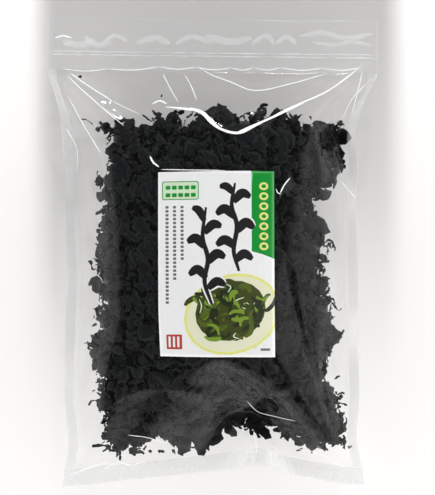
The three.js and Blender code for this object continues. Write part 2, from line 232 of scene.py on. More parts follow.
# strength of the floor's painted glow, less in its painted grey shade
FLOOR_GLOW = 0.52
FLOOR_HALF = 3000
FLOOR_TOP = -0.05
SHADE_MIDDLE = 0.0035  # of the painted grey shade on the floor, in metres, as are the next three
SHADE_SIDE = (0.1, 0.12)
SHADE_ALONG = (-0.1, 0.175)
SHADE_FAR = (0.17, 0.3)
SHADE_DEPTH = 0.96
TENT_STARTS = {"right": 28, "left": 40, "front": 47}  # degrees from overhead to the pale walls
TENT_EDGE = 3.5
TENT_COLOUR = (1.4, 1.4, 1.39)
TENT_HORIZON = (0.3, 0.5)  # heights, as sines, over which its lower part fades to the rest
TENT_HORIZON_LIGHT = 1.8
TENT_DARK = (0.06, 0.07, 0.09)
KEY = {"place": (120, 1100, 620), "aim": (0, 0, 30), "size": (90, 60), "radiance": 300}


def seeded_random(seed):
    """The CAD model's random numbers from 0 to 1, for the same lumps."""
    state = seed
    mask = 0xFFFFFFFF
    while True:
        state = (state + 0x6D2B79F5) & mask
        t = ((state ^ (state >> 15)) * (1 | state)) & mask
        t = ((t + (((t ^ (t >> 7)) * (61 | t)) & mask)) & mask) ^ t
        yield ((t ^ (t >> 14)) & mask) / 4294967296


def grid_lines(breaks, spacing):
    """Grid lines that hit every break, evenly spaced in between."""
    lines = [breaks[0]]
    for low, high in zip(breaks, breaks[1:]):
        count = max(1, math.floor((high - low) / spacing + 0.5))
        lines += [low + (high - low) * n / count for n in range(1, count + 1)]
    return np.array(lines, float)


def make_lumps():
    draw = seeded_random(LUMP_SEED)
    lumps = []
    for _ in range(LUMPS):
        x = HEAP_RIGHT + (next(draw) - 0.5) * HEAP_WIDTH
        y = HEAP_MIDDLE + (next(draw) - 0.5) * HEAP_LENGTH
        radius = LUMP_RADIUS[0] + next(draw) * (LUMP_RADIUS[1] - LUMP_RADIUS[0])
        lumps.append((x, y, radius, (next(draw) * 2 - 1) * LUMP_RISE))
    return lumps


LUMP_LIST = make_lumps()


def heap_crown(x, y):
    a = np.abs(x - HEAP_RIGHT) / (HEAP_WIDTH / 2)
    b = np.abs(y - HEAP_MIDDLE) / (HEAP_LENGTH / 2)
    low = np.clip((HEAP_MIDDLE - y) / (HEAP_LENGTH / 2), 0, 1)
    corner = HEAP_CORNER[0] + (HEAP_CORNER[1] - HEAP_CORNER[0]) * low
    crown = HEAP_CROWN[0] + (HEAP_CROWN[1] - HEAP_CROWN[0]) * low
    r = np.minimum((a**corner + b**corner) ** (1 / corner), 1)
    return np.sqrt(1 - r**crown)


def heap_top(x, y, fill):
    crown = heap_crown(x, y)
    rise = np.full(x.shape, HEAP_TOP - HEAP_WAIST, float)
    for lump_x, lump_y, radius, lump_rise in LUMP_LIST + HEAP_FORMS:
        away = (x - lump_x) ** 2 + (y - lump_y) ** 2
        rise += lump_rise * np.exp(-away / radius**2)
    return np.where(crown > 0, HEAP_WAIST + rise * crown * fill, -np.inf)


def heap_underside(x, y, fill):
    crown = heap_crown(x, y)
    return np.where(crown > 0, HEAP_WAIST - HEAP_UNDER * crown * fill, np.inf)


class Net:
    """The two films as grids of points: where they are shut, stiff, held and how low they may come."""

    def __init__(self, spacing):
        zip_rows = [ZIP_MIDDLE + n * ZIP_RIDGE_SPACING / 2 for n in (-2, -1, 0, 1, 2)]
        label_right = LABEL_LEFT + LABEL_WIDTH
        sides = [-HALF_WIDTH, -HALF_WIDTH + SIDE_SEAL, LABEL_LEFT]
        self.columns = grid_lines(
            [*sides, label_right, HALF_WIDTH - SIDE_SEAL, HALF_WIDTH], spacing
        )
        self.rows = grid_lines(
            [0, BOTTOM_SEAL, LABEL_LOW, LABEL_LOW + LABEL_LENGTH, HEADER_LOW, *zip_rows, POUCH_LENGTH],
            spacing,
        )
        self.across = len(self.columns)
        self.along = len(self.rows)
        self.x, self.y = np.meshgrid(self.columns, self.rows)
        x, y = self.x, self.y
        away = (y - PUCKER["up"]) / PUCKER["half_length"]
        self.sheet_x = x * (1 - PUCKER["share"] * np.exp(-(away**2)))
        self.header = y > HEADER_LOW - TOUCH
        self.bottom_seal = y < BOTTOM_SEAL + TOUCH
        at_side = np.abs(x) > HALF_WIDTH - SIDE_SEAL - TOUCH
        self.seal = ~self.header & (at_side | self.bottom_seal)
        self.shut = self.header | self.seal
        self.labelled = (x > LABEL_LEFT - TOUCH) & (x < label_right + TOUCH)
        self.labelled &= (y > LABEL_LOW - TOUCH) & (y < LABEL_LOW + LABEL_LENGTH + TOUCH)

    def near_fold(self, reach):
        return np.abs(self.x - FOLD_RIGHT) < FOLD_HALF_WIDTH * reach

    def floor_height(self):
        """The lowest that each point may come: four points carry the pouch."""
        i = [int(np.abs(self.columns - REST[side]).argmin()) for side in ("left", "right")]
        j = [int(np.abs(self.rows - REST[side]).argmin()) for side in ("low", "high")]
        height = np.full(self.x.shape, FLANGE / 2 + REST_OUTSIDE_RISE)
        height[j[0] + 1 : j[1], i[0] + 1 : i[1]] = FLANGE / 2 + REST_INSIDE_RISE
        height[np.ix_(j, i)] = FLANGE / 2
        return height

    def even_links(self, di, dj, pull, push, at_both_ends=True):
        """Links between all points (di, dj) apart, in groups that share no point, as slices."""
        groups = []
        reach = max(abs(di), abs(dj))
        for start in range(2 * reach):
            step = 2 * reach
            if di:
                first = start if start + di >= 0 else start + step
                last = self.across - max(di, 0)
                a = (slice(None), slice(0, self.along - dj), slice(first, last, step))
                b = (slice(None), slice(dj, self.along), slice(first + di, last + di, step))
            else:
                a = (slice(None), slice(start, self.along - dj, step))
                b = (slice(None), slice(start + dj, self.along, step))
            share = np.minimum(push[a], push[b]) if at_both_ends else push[a]
            across = self.sheet_x[b[1:]] - self.sheet_x[a[1:]]
            length = np.hypot(across, self.y[b[1:]] - self.y[a[1:]])
            groups.append((a, b, length, pull, share))
        return groups

    def some_links(self, di, dj, push, linked):
        """Links that start at the linked points only."""
        groups = []
        reach = max(di, dj)
        for colour in (0, 1):
            j, i = np.nonzero(linked)
            keep = (i + di < self.across) & (j + dj < self.along)
            keep &= ((i if di else j) // reach) % 2 == colour
            j, i = np.tile(j[keep], 2), np.tile(i[keep], 2)
            film = np.repeat([0, 1], keep.sum())
            across = self.sheet_x[j + dj, i + di] - self.sheet_x[j, i]
            length = np.hypot(across, self.rows[j + dj] - self.rows[j])
            groups.append(((film, j, i), (film, j + dj, i + di), length, 0, push))
        return groups


def keep_lengths(at, groups):
    """Moves each two linked points towards or away from each other, a group at a time."""
    for a, b, length, pull, push in groups:
        from_points, to_points = at[a], at[b]
        step = to_points - from_points
        now = np.sqrt(np.einsum("...k,...k", step, step))
        share = (now - length) / now * 0.5 * np.where(now > length, pull, push)
        step *= share[..., None]
        at[a] = from_points + step
        at[b] = to_points - step


def press_out(at, pressure):
    """Pushes the front film up and the back film down by the air shut in."""
    for film, sign in ((at[0], 1), (at[1], -1)):
        a, b, c, d = film[:-1, :-1], film[:-1, 1:], film[1:, 1:], film[1:, :-1]
        push = np.cross(c - a, d - b) * (sign * pressure / 8)
        for corner in (a, b, c, d):
            corner += push


def coarse_links(net):
    both = (2, net.along, net.across)
    push = np.full(both, FILM_PUSH)
    push[:, net.shut] = SEAL_PUSH
    shear = np.zeros(both)
    shear[:, net.shut] = SEAL_PUSH / 2
    across_bend = np.full(both, FILM_BEND)
    across_bend[:, net.seal] = SEAL_BEND
    along_bend = across_bend.copy()
    along_bend[:, (net.y < FOLD_LENGTH) & net.near_fold(FOLD_LIMP_REACH)] = FOLD_BEND
    for bend in (across_bend, along_bend):
        bend[:, net.header] = STIFF_BEND
        bend[0][net.labelled] = STIFF_BEND
    stiff = net.header | net.labelled
    return [
        *net.even_links(1, 0, 1, push),
        *net.even_links(0, 1, 1, push),
        *net.even_links(1, 1, SHEAR_PULL, shear),
        *net.even_links(-1, 1, SHEAR_PULL, shear),
        *net.even_links(2, 0, 0, across_bend, at_both_ends=False),
        *net.even_links(0, 2, 0, along_bend, at_both_ends=False),
        *net.some_links(5, 0, STIFF_BEND, stiff),
        *net.some_links(0, 4, STIFF_BEND, stiff),
        *net.some_links(0, 4, SEAL_BEND, net.seal & ~net.bottom_seal),
        *net.some_links(10, 0, STIFF_BEND, net.header),
        *net.some_links(5, 0, SEAL_BEND, net.bottom_seal & ~net.near_fold(FOLD_STIFF_REACH)),
    ]


def coarse_film(net):
    """The CAD model's film, relaxed from two flat sheets."""
    dent = np.exp(
        -(((net.x - DENT["right"]) / DENT["half_width"]) ** 2)
        - ((net.y - DENT["up"]) / DENT["half_length"]) ** 2
    )
    at = np.zeros((2, net.along, net.across, 3))
    at[...] = np.stack([net.sheet_x, net.y, HEAP_WAIST + DENT["rise"] * dent], -1)
    before = at.copy()
    groups = coarse_links(net)
    floor = net.floor_height()
    opened = ~net.shut

    droop = HEADER_DROOP * np.clip((net.y - HEADER_LOW) / HEADER, 0, 1)
    fold = np.exp(-(((net.x - FOLD_RIGHT) / FOLD_HALF_WIDTH) ** 2)) * net.bottom_seal
    held_height = HEAP_WAIST - droop + FOLD_RISE * fold * (1 - FOLD_FADE * net.y / BOTTOM_SEAL)
    level, free = LEVEL_LENGTH
    held_share = LEVEL_HOLD * np.clip((free - net.y) / (free - level), 0, 1) * net.seal
    held_share += HEADER_HOLD * net.header
    header = np.count_nonzero(net.rows < HEADER_LOW - TOUCH)
    limited = np.count_nonzero(net.rows < SIDES["up"][-1])
    left = np.interp(net.rows[:limited], SIDES["up"], SIDES["left"])
    right = np.interp(net.rows[:limited], SIDES["up"], SIDES["right"])

    for step in range(STEPS):
        fill = min(1, step / FILL_STEPS)
        speed = (at - before) * KEPT_SPEED
        before = at.copy()
        at += speed
        at[..., 2] -= GRAVITY
        press_out(at, PRESSURE)
        left_limit = -HALF_WIDTH + (left + HALF_WIDTH) * fill
        right_limit = HALF_WIDTH + (right - HALF_WIDTH) * fill
        for _ in range(PASSES):
            keep_lengths(at, groups)
            at[:, net.shut] = 0.5 * (at[0][net.shut] + at[1][net.shut])
            at[..., 2] += held_share * (held_height - at[..., 2])
            rows = at[:, header:]
            row_height = rows[..., 1].mean(-1, keepdims=True) + HEADER_SLOPE * rows[..., 0]
            rows[..., 1] += HEADER_HOLD * (row_height - rows[..., 1])
            at[:, :limited, 0, 0] = np.maximum(at[:, :limited, 0, 0], left_limit)
            at[:, :limited, -1, 0] = np.minimum(at[:, :limited, -1, 0], right_limit)
        rest_on_heap(at, opened, floor, fill)
    return at


def rest_on_heap(at, opened, floor, fill, bumps=0):
    front, back = at
    top = heap_top(front[..., 0], front[..., 1], fill) + bumps
    underside = heap_underside(back[..., 0], back[..., 1], fill)
    over = np.maximum(front[..., 2], np.maximum(top, back[..., 2]))
    front[..., 2] = np.where(opened, over, front[..., 2])
    back[..., 2] = np.where(opened, np.minimum(back[..., 2], underside), back[..., 2])
    at[..., 2] = np.maximum(at[..., 2], floor)


def resampled(values, knots, wanted, axis):
    """Values at uneven knots along an axis, read at other places on smooth curves through them."""
    values = np.moveaxis(values, axis, 0)
    gaps = np.diff(knots)
    shape = (-1,) + (1,) * (values.ndim - 1)
    slopes = np.diff(values, axis=0) / gaps.reshape(shape)
    weight = (gaps[:-1] / (gaps[:-1] + gaps[1:])).reshape(shape)
    inner = slopes[:-1] * (1 - weight) + slopes[1:] * weight
    tangents = np.concatenate([slopes[:1], inner, slopes[-1:]])
    k = np.clip(np.searchsorted(knots, wanted, side="right") - 1, 0, len(knots) - 2)
    t = ((wanted - knots[k]) / gaps[k]).reshape(shape)
    gap = gaps[k].reshape(shape)
    made = (
        values[k] * (2 * t**3 - 3 * t**2 + 1)
        + tangents[k] * gap * (t**3 - 2 * t**2 + t)
        + values[k + 1] * (3 * t**2 - 2 * t**3)
        + tangents[k + 1] * gap * (t**3 - t**2)
    )
    return np.moveaxis(made, 0, axis)


def smooth_noise(random, shape, spacing, size):
    """Random heights about 0, with bumps as wide as size, on a grid of that spacing."""
    noise = random.normal(size=shape)
    reach = max(1, round(size / spacing))
    window = np.hanning(2 * reach + 1)[1:-1]
    window /= np.sqrt((window**2).sum())
    for axis in (-2, -1):
        noise = np.apply_along_axis(lambda line: np.convolve(line, window, "same"), axis, noise)
    return noise


def fine_film(coarse, at, net):
    """The film on the finer net, where it takes up its slack in wrinkles."""
    at = resampled(at, coarse.rows, net.rows, 1)
    at = resampled(at, coarse.columns, net.columns, 2)
    held = at.copy()
    opened = ~net.shut
    random = np.random.default_rng(FINE_SEED)
    both = (2, net.along, net.across)
    noise = smooth_noise(random, both, FINE_GRID, FINE_NOISE["size"])
    at[..., 2] += FINE_NOISE["rise"] * noise * opened
    bumps = FINE_BUMPS["rise"] * smooth_noise(random, both[1:], FINE_GRID, FINE_BUMPS["size"])

    push = np.full(both, FINE_PUSH)
    push[0][net.labelled] = FINE_LABEL_PUSH
    push[:, net.shut] = SEAL_PUSH
    bend = np.full(both, FINE_BEND)
    bend[0][net.labelled] = STIFF_BEND
    bend[:, net.shut] = SEAL_BEND
    groups = [
        *net.even_links(1, 0, 1, push),
        *net.even_links(0, 1, 1, push),
        *net.even_links(1, 1, SHEAR_PULL, push * FINE_SHEAR),
        *net.even_links(-1, 1, SHEAR_PULL, push * FINE_SHEAR),
        *net.even_links(2, 0, 0, bend, at_both_ends=False),
        *net.even_links(0, 2, 0, bend, at_both_ends=False),
    ]
    floor = net.floor_height()
    before = at.copy()
    for _ in range(FINE_STEPS):
        speed = (at - before) * KEPT_SPEED
        before = at.copy()
        at += speed
        at[..., 2] -= FINE_GRAVITY
        for _ in range(FINE_PASSES):
            keep_lengths(at, groups)
            at[:, net.shut] = 0.5 * (at[0][net.shut] + at[1][net.shut])
            at[:, net.shut] += FINE_HOLD * (held[:, net.shut] - at[:, net.shut])
        rest_on_heap(at, opened, floor, 1, bumps)
    for _ in range(FINE_SMOOTHING):
        around = (at[:, 1:-1, :-2] + at[:, 1:-1, 2:] + at[:, :-2, 1:-1] + at[:, 2:, 1:-1]) / 4
        inner = at[:, 1:-1, 1:-1]
        inner += SMOOTHING_SHARE * (around - inner) * opened[1:-1, 1:-1, None]
    at[..., 2] = np.maximum(at[..., 2], floor)
    return at


def unit(vectors):
    return vectors / np.linalg.norm(vectors, axis=-1, keepdims=True)


def normals_of(grid):
    """Unit normals of a grid of points, up where the grid faces up."""
    return unit(np.cross(np.gradient(grid, axis=1), np.gradient(grid, axis=0)))


def through_grid(line, wanted):
    """The grid line below each wanted place, and how far it is to the next."""
    k = np.clip(np.searchsorted(line, wanted, side="right") - 1, 0, len(line) - 2)
    return k, (wanted - line[k]) / (line[k + 1] - line[k])


coarse_net = Net(GRID)
net = Net(FINE_GRID)
film_at = fine_film(coarse_net, coarse_film(coarse_net), net)
cad_middle = np.array((cad_bounds[0] + cad_bounds[1]) / 2 / MM)
net_middle = (film_at.min((0, 1, 2)) + film_at.max((0, 1, 2))) / 2
film_at[..., :2] += cad_middle[:2] - net_middle[:2]
front, back = film_at


def grid_faces(along, across, start=0, flip=False):
    """Quads of a grid of points numbered row by row from start."""
    j, i = np.mgrid[0 : along - 1, 0 : across - 1]
    a = (start + j * across + i).ravel()
    quads = np.stack([a, a + 1, a + across + 1, a + across], -1)
    return (quads[:, ::-1] if flip else quads).tolist()


class Heights:
    """Heights of the two films over the ground, read from a raster."""

    def __init__(self):
        faces = grid_faces(net.along, net.across)
        self.front = self.cast(front, faces, 1)
        self.back = self.cast(back, faces, -1)

    def cast(self, grid, faces, side):
        tree = BVHTree.FromPolygons(grid.reshape(-1, 3).tolist(), faces)
        columns, rows = HEIGHT_COUNT
        heights = np.full((rows, columns), np.nan)
        down = Vector((0, 0, -side))
        for j in range(rows):
            for i in range(columns):
                x, y = HEIGHT_LOW[0] + i * HEIGHT_CELL, HEIGHT_LOW[1] + j * HEIGHT_CELL
                hit = tree.ray_cast(Vector((x, y, SKY * side)), down)[0]
                if hit is not None:
                    heights[j, i] = hit.z
        return heights

    def read(self, raster, x, y):
        i = np.clip((x - HEIGHT_LOW[0]) / HEIGHT_CELL, 0, HEIGHT_COUNT[0] - RASTER_EDGE)
        j = np.clip((y - HEIGHT_LOW[1]) / HEIGHT_CELL, 0, HEIGHT_COUNT[1] - RASTER_EDGE)
        i0, j0 = i.astype(int), j.astype(int)
        s, t = i - i0, j - j0
        low = raster[j0, i0] * (1 - s) + raster[j0, i0 + 1] * s
        high = raster[j0 + 1, i0] * (1 - s) + raster[j0 + 1, i0 + 1] * s
        return low * (1 - t) + high * t

    def room(self, x, y):
        """The lowest and highest that a piece may reach at a place."""
        return (
            self.read(self.back, x, y) + CONTENTS_GAP,
            self.read(self.front, x, y) - CONTENTS_GAP,
        )


# ---------------------------------------------------------------- where the photograph shows a place


def seen(pixels):
    """Where over the ground the front film is at pixels of the photograph."""
    pixels = np.asarray(pixels, float)
    plane = np.stack([
        EYE[0] + (pixels[:, 0] - IMAGE_WIDTH / 2) * MM_PER_PIXEL,
        EYE[1] - (pixels[:, 1] - IMAGE_HEIGHT / 2) * MM_PER_PIXEL,
    ], -1)
    spot = plane
    for _ in range(SEEN_ROUNDS):
        z = heights.read(heights.front, spot[:, 0], spot[:, 1])
        z = np.where(np.isfinite(z), z, SUBJECT_HEIGHT)
        spot = EYE[:2] + (plane - EYE[:2]) * ((EYE[2] - z) / CAMERA_DISTANCE)[:, None]
    return spot


def smooth_line(points, spacing):
    """Points at an even spacing along a smooth line through a few points."""
    path = np.asarray(points, float)
    knots = np.concatenate([[0], np.cumsum(np.linalg.norm(np.diff(path, axis=0), axis=1))])
    count = max(3, round(knots[-1] / spacing) + 1)
    return resampled(path, knots, np.linspace(0, knots[-1], count), 0)


# ---------------------------------------------------------------- creases

# How high and how wide the fold is, how wide the painted highlight along its crest, and its line in pixels
# of the photograph.
CREASES = [
    (1.0, 6, 0.6, [(70, 73), (84, 83), (112, 101)]),
    (0.7, 5, 0.3, [(112, 101), (126, 108), (139, 114)]),
    (0.8, 5, 0.5, [(67, 75), (78, 86), (98, 104), (124, 126)]),
    (0.7, 5, 0.45, [(68, 96), (82, 122), (101, 154)]),
    (0.5, 4, 0.0, [(72, 120), (90, 160), (97, 200)]),
    (1.1, 7, 1.5, [(166, 107), (185, 109), (202, 112), (217, 127), (238, 133), (258, 124), (276, 115)]),
    (0.3, 5, 1.9, [(190, 108), (202, 113), (212, 123), (222, 130)]),
    (0.8, 6, 0.9, [(264, 121), (276, 115), (304, 102), (326, 92), (358, 69)]),
    (0.2, 4, 1.3, [(238, 132), (262, 122), (286, 111), (310, 99)]),
    (0.7, 5, 0.6, [(199, 68), (214, 76), (230, 82), (250, 90), (290, 84), (328, 73)]),
    (0.5, 4, 0.9, [(152, 104), (160, 101), (167, 104)]),
    (0.6, 4, 0.45, [(163, 74), (170, 88), (178, 102)]),
    (0.6, 4, 0.45, [(185, 75), (192, 88), (197, 101)]),
    (0.5, 4, 0.4, [(362, 72), (358, 90), (352, 112)]),
    (0.6, 4, 0.4, [(343, 118), (352, 99), (366, 84)]),
    (0.8, 5, 1.0, [(150, 156), (153, 162), (159, 167)]),
    (0.5, 4, 0.5, [(161, 169.5), (190, 170), (225, 170.5)]),
    (0.8, 5, 0.8, [(290, 178), (285, 184), (280, 193)]),
    (0.6, 5, 0.5, [(281, 194), (278, 193), (276, 189)]),
    (-0.9, 7, 0.0, [(151, 240), (146, 275), (132, 320), (116, 370), (106, 402)]),
    (1.0, 9, 0.0, [(98, 268), (122, 270), (151, 263)]),
    (-0.9, 5, 0.0, [(285, 262), (296, 315), (308, 355), (319, 386)]),
    (0.9, 7, 0.35, [(247, 401), (257, 411), (274, 416), (296, 421)]),
    (0.8, 6, 0.0, [(246, 402), (239, 420), (236, 440)]),
    (0.7, 6, 0.0, [(258, 412), (262, 428), (258, 450)]),
    (0.6, 5, 0.4, [(128, 435), (145, 437), (167, 443)]),
    (0.8, 7, 0.0, [(108, 405), (128, 394), (150, 388), (196, 393), (245, 401)]),
    (0.7, 6, 0.0, [(246, 402), (270, 396), (291, 386), (334, 381)]),
    (0.5, 3, 0.6, [(254, 431), (256, 442), (257, 453)]),
    (0.5, 3, 0.6, [(259, 434), (267, 442), (278, 450)]),
    (0.4, 3, 0.5, [(69, 475), (88, 468), (111, 460)]),
    (0.4, 3, 0.4, [(104, 469), (118, 462), (130, 465), (146, 460)]),
    (0.4, 3, 0.5, [(298, 449), (315, 452), (337, 463)]),
    (0.5, 4, 0.4, [(66, 128), (76, 146), (78, 172)]),
    (0.5, 4, 0.0, [(66, 262), (76, 270), (88, 272)]),
    (0.5, 4, 0.35, [(341, 181), (348, 190), (356, 199)]),
    (0.4, 4, 0.9, [(55, 38), (62, 36), (72, 38)]),
]
# Ripples of the zip's end: how high and how wide, and a line in pixels of the photograph
RIPPLES = [
    (0.5, 7, [(52, 37), (80, 34), (112, 40), (140, 33), (172, 39), (205, 33), (240, 40)]),
    (0.5, 7, [(225, 30), (262, 38), (300, 31), (330, 41), (372, 33)]),
    (-0.35, 6, [(60, 26), (120, 28), (190, 24), (260, 28), (330, 25), (370, 28)]),
    (0.3, 5, [(56, 60), (120, 58), (190, 61), (260, 58), (330, 61), (368, 59)]),
]
# Soft painted highlights on the zip's end: how wide, and a line in pixels of the photograph
PAINTED_HEADER_HIGHLIGHTS = [
    (3.2, [(300, 36), (325, 33), (343, 38), (372, 34)]),
    (2.2, [(312, 42), (332, 45), (352, 42), (372, 45)]),
    (4.0, [(62, 41), (78, 45), (95, 40)]),
    (3.4, [(84, 36), (97, 45), (112, 42)]),
    (3.0, [(104, 44), (113, 36), (128, 41)]),
    (4.2, [(136, 43), (156, 38), (170, 44)]),
    (3.2, [(176, 44), (190, 37), (212, 43)]),
    (4.4, [(206, 36), (232, 42), (252, 38)]),
    (3.2, [(252, 44), (268, 36), (274, 45)]),
    (3.0, [(276, 44), (286, 37), (297, 44)]),
]
# The crease where the films part, in arcs between cusps
OPENING_CUSPS = [
    (63, 69), (108, 69), (159, 67), (196, 67.5), (231, 68), (254, 68), (280, 68), (322, 68.5), (360, 68),
]  # fmt: skip
OPENING_SAG = 2.2
OPENING_RISE = 0.5
OPENING_HALF_WIDTH = 4
# width of the painted highlight along each arc of the opening
OPENING_HIGHLIGHT = 0.5
CREASE_END = 0.15  # share of a crease's length over which it fades
CREASE_FADE = 0.7  # exponent of that
CREASE_SHARPNESS = 1.6  # exponent of its slope
LINE_SPACING = 1.6  # of points along a line, in pixels


def opening_creases():
    made = []
    for (ax, ay), (bx, by) in zip(OPENING_CUSPS, OPENING_CUSPS[1:]):
        middle = ((ax + bx) / 2, (ay + by) / 2 + OPENING_SAG)
        made.append((OPENING_RISE, OPENING_HALF_WIDTH, OPENING_HIGHLIGHT, [(ax, ay), middle, (bx, by)]))
    return made


def line_on_film(pixels):
    """A smooth line over the ground, where the film is seen at pixels of the photograph."""
    return seen(smooth_line(pixels, LINE_SPACING))


def fade(share):
    """0 at both ends of a line, and 1 away from them."""
    return np.clip(np.minimum(share, 1 - share) / CREASE_END, 0, 1) ** CREASE_FADE


def crease_lift(x, y, lines):
    """How far lines, each with its rise and half width, lift the film at places over the ground."""
    lift = np.zeros(x.shape)
    for rise, half_width, line in lines:
        low, high = line.min(0) - half_width, line.max(0) + half_width
        near = (x > low[0]) & (x < high[0]) & (y > low[1]) & (y < high[1])
        spots = np.stack([x[near], y[near]], -1)[:, None]
        a, b = line[:-1][None], line[1:][None]
        step = b - a
        t = np.clip(((spots - a) * step).sum(-1) / (step**2).sum(-1), 0, 1)
        away = np.linalg.norm(spots - a - step * t[..., None], axis=-1)
        k = away.argmin(1)
        rows = np.arange(len(k))
        share = (k + t[rows, k]) / (len(line) - 1)
        slope = np.clip(1 - away[rows, k] / half_width, 0, 1)
        lift[near] += rise * fade(share) * slope**CREASE_SHARPNESS
    return lift


def crease_film():
    """Lifts both films along the creases, the back one only where they are shut to each other."""
    normals = normals_of(front)
    x, y = front[..., 0], front[..., 1]
    creases = [(rise, wide, line) for rise, wide, _, line in creases_on_film]
    ripples = [(rise, wide, line_on_film(pixels)) for rise, wide, pixels in RIPPLES]
    lift = crease_lift(x, y, creases) + crease_lift(x, y, ripples)
    step = normals * lift[..., None]
    film_at[0] += step
    film_at[1][net.shut] += step[net.shut]
    film_at[..., 2] = np.maximum(film_at[..., 2], net.floor_height())


heights = Heights()
creases_on_film = [(*row, line_on_film(pixels)) for *row, pixels in CREASES + opening_creases()]
crease_film()
heights = Heights()

# ---------------------------------------------------------------- meshes and materials


def make_piece(name, points, faces, materials, slot, face_materials=None, sheet=None):
    """An object from points in millimetres. sheet gives each point's place on the flat film."""
    mesh = bpy.data.meshes.new(name)
    mesh.from_pydata((np.asarray(points, float) * MM).tolist(), [], faces)
    for material in materials:
        mesh.materials.append(material)
    if face_materials is not None:
        mesh.polygons.foreach_set("material_index", np.asarray(face_materials, np.int32))
    mesh.polygons.foreach_set("use_smooth", np.full(len(faces), True))
    if sheet is not None:
        layer = mesh.uv_layers.new(name="sheet")
        corners = np.zeros(len(mesh.loops), np.int32)
        mesh.loops.foreach_get("vertex_index", corners)
        layer.uv.foreach_set("vector", (np.asarray(sheet, float) * MM)[corners].ravel())
    mesh.validate()
    piece = bpy.data.objects.new(name, mesh)
    bpy.context.scene.collection.objects.link(piece)
    if slot:
        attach(piece, "root")
    return piece


def rim_of(along, across):
    """The numbers of a grid's outer points, once round it."""
    low = list(range(across))
    right = [j * across + across - 1 for j in range(1, along)]
    high = [(along - 1) * across + i for i in range(across - 2, -1, -1)]
    left = [j * across for j in range(along - 2, 0, -1)]
    return low + right + high + left


def new_material(name):
    material = bpy.data.materials.new(name)
    material.use_nodes = True
    tree = material.node_tree
    tree.nodes.clear()
    return material, tree


def add_node(tree, kind, settings=(), **inputs):
    """A node with its settings and inputs: a value is set, and an output is linked."""
    node = tree.nodes.new(kind)
    for key, value in dict(settings).items():
        setattr(node, key, value)
    for key, value in inputs.items():
        socket = node.inputs[int(key[1:])] if key[0] == "i" and key[1:].isdigit() else node.inputs[key]
        if isinstance(value, bpy.types.NodeSocket):
            tree.links.new(value, socket)
        else:
            socket.default_value = value
    return node


def number(tree, operation, *values):
    """The output of a Math node."""
    inputs = {f"i{n}": value for n, value in enumerate(values)}
    return add_node(tree, "ShaderNodeMath", {"operation": operation}, **inputs).outputs[0]


def ramp(tree, value, start, end):
    """0 up to the start and 1 from the end, smooth in between."""
    node = add_node(
        tree,
        "ShaderNodeMapRange",
        {"interpolation_type": "SMOOTHSTEP"},
        **{"Value": value, "From Min": start, "From Max": end},
    )
    return node.outputs[0]


def position(tree):
    return add_node(tree, "ShaderNodeNewGeometry").outputs["Position"]


def noise_at(tree, place, scale, detail):
    """A noise texture's value at a place."""
    node = add_node(tree, "ShaderNodeTexNoise", Vector=place, Scale=scale, Detail=detail)
    return node.outputs["Fac"]


def bumped(tree, height, depth):
    return add_node(tree, "ShaderNodeBump", Height=height, **depth).outputs[0]


def grey(level):
    return (level, level, level, 1)


def principled(tree, colour, roughness, **more):
    inputs = {"Base Color": colour, "Roughness": roughness, **more}
    return add_node(tree, "ShaderNodeBsdfPrincipled", **inputs).outputs[0]


def see_through(tree, level):
    return add_node(tree, "ShaderNodeBsdfTransparent", Color=grey(level)).outputs[0]


def blend(tree, share, first, second):
    return add_node(tree, "ShaderNodeMixShader", Fac=share, i1=first, i2=second).outputs[0]


def surface(tree, shader):
    add_node(tree, "ShaderNodeOutputMaterial", Surface=shader)


def film_material():
    """Clear film, milky where it is sealed and a little at the zip's end, with crimped seals."""
    material, tree = new_material("clear_film")
    sheet = add_node(tree, "ShaderNodeUVMap", {"uv_map": "sheet"}).outputs["UV"]
    place = add_node(tree, "ShaderNodeSeparateXYZ", Vector=sheet)
    from_middle = number(tree, "ABSOLUTE", place.outputs["X"])
    at_side = number(tree, "GREATER_THAN", from_middle, (HALF_WIDTH - SIDE_SEAL) * MM)
    at_bottom = number(tree, "LESS_THAN", place.outputs["Y"], BOTTOM_SEAL * MM)
    at_header = number(tree, "GREATER_THAN", place.outputs["Y"], HEADER_LOW * MM)
    at_edge = number(tree, "MAXIMUM", at_side, at_bottom)
    sealed = number(tree, "MULTIPLY", at_edge, number(tree, "SUBTRACT", 1.0, at_header))
    crimp = number(tree, "MULTIPLY", at_bottom, noise_at(tree, sheet, *FILM_CRIMP))
    veil = number(tree, "MULTIPLY_ADD", at_header, FILM_HEADER_MILK, FILM_MILK)
    sealed_veil = number(tree, "MULTIPLY_ADD", sealed, FILM_SEAL_MILK, veil)
    milk = number(tree, "MULTIPLY_ADD", crimp, FILM_CRIMP_MILK, sealed_veil)
    crimped = bumped(tree, crimp, CRIMP_BUMP)

    facing = add_node(tree, "ShaderNodeLayerWeight", Blend=0.5, Normal=crimped)
    steep = number(tree, "POWER", facing.outputs["Facing"], 5.0)
    share = number(tree, "MULTIPLY_ADD", steep, FILM_EDGE_GLOSS, FILM_GLOSS)
    milky = add_node(tree, "ShaderNodeBsdfDiffuse", Color=grey(MILK_WHITE)).outputs[0]
    body = blend(tree, milk, see_through(tree, FILM_CLEAR), milky)
    shine = add_node(
        tree, "ShaderNodeBsdfAnisotropic", Color=grey(1), Roughness=ROUGHNESS["film"], Normal=crimped
    )
    surface(tree, blend(tree, share, body, shine.outputs[0]))
    return material


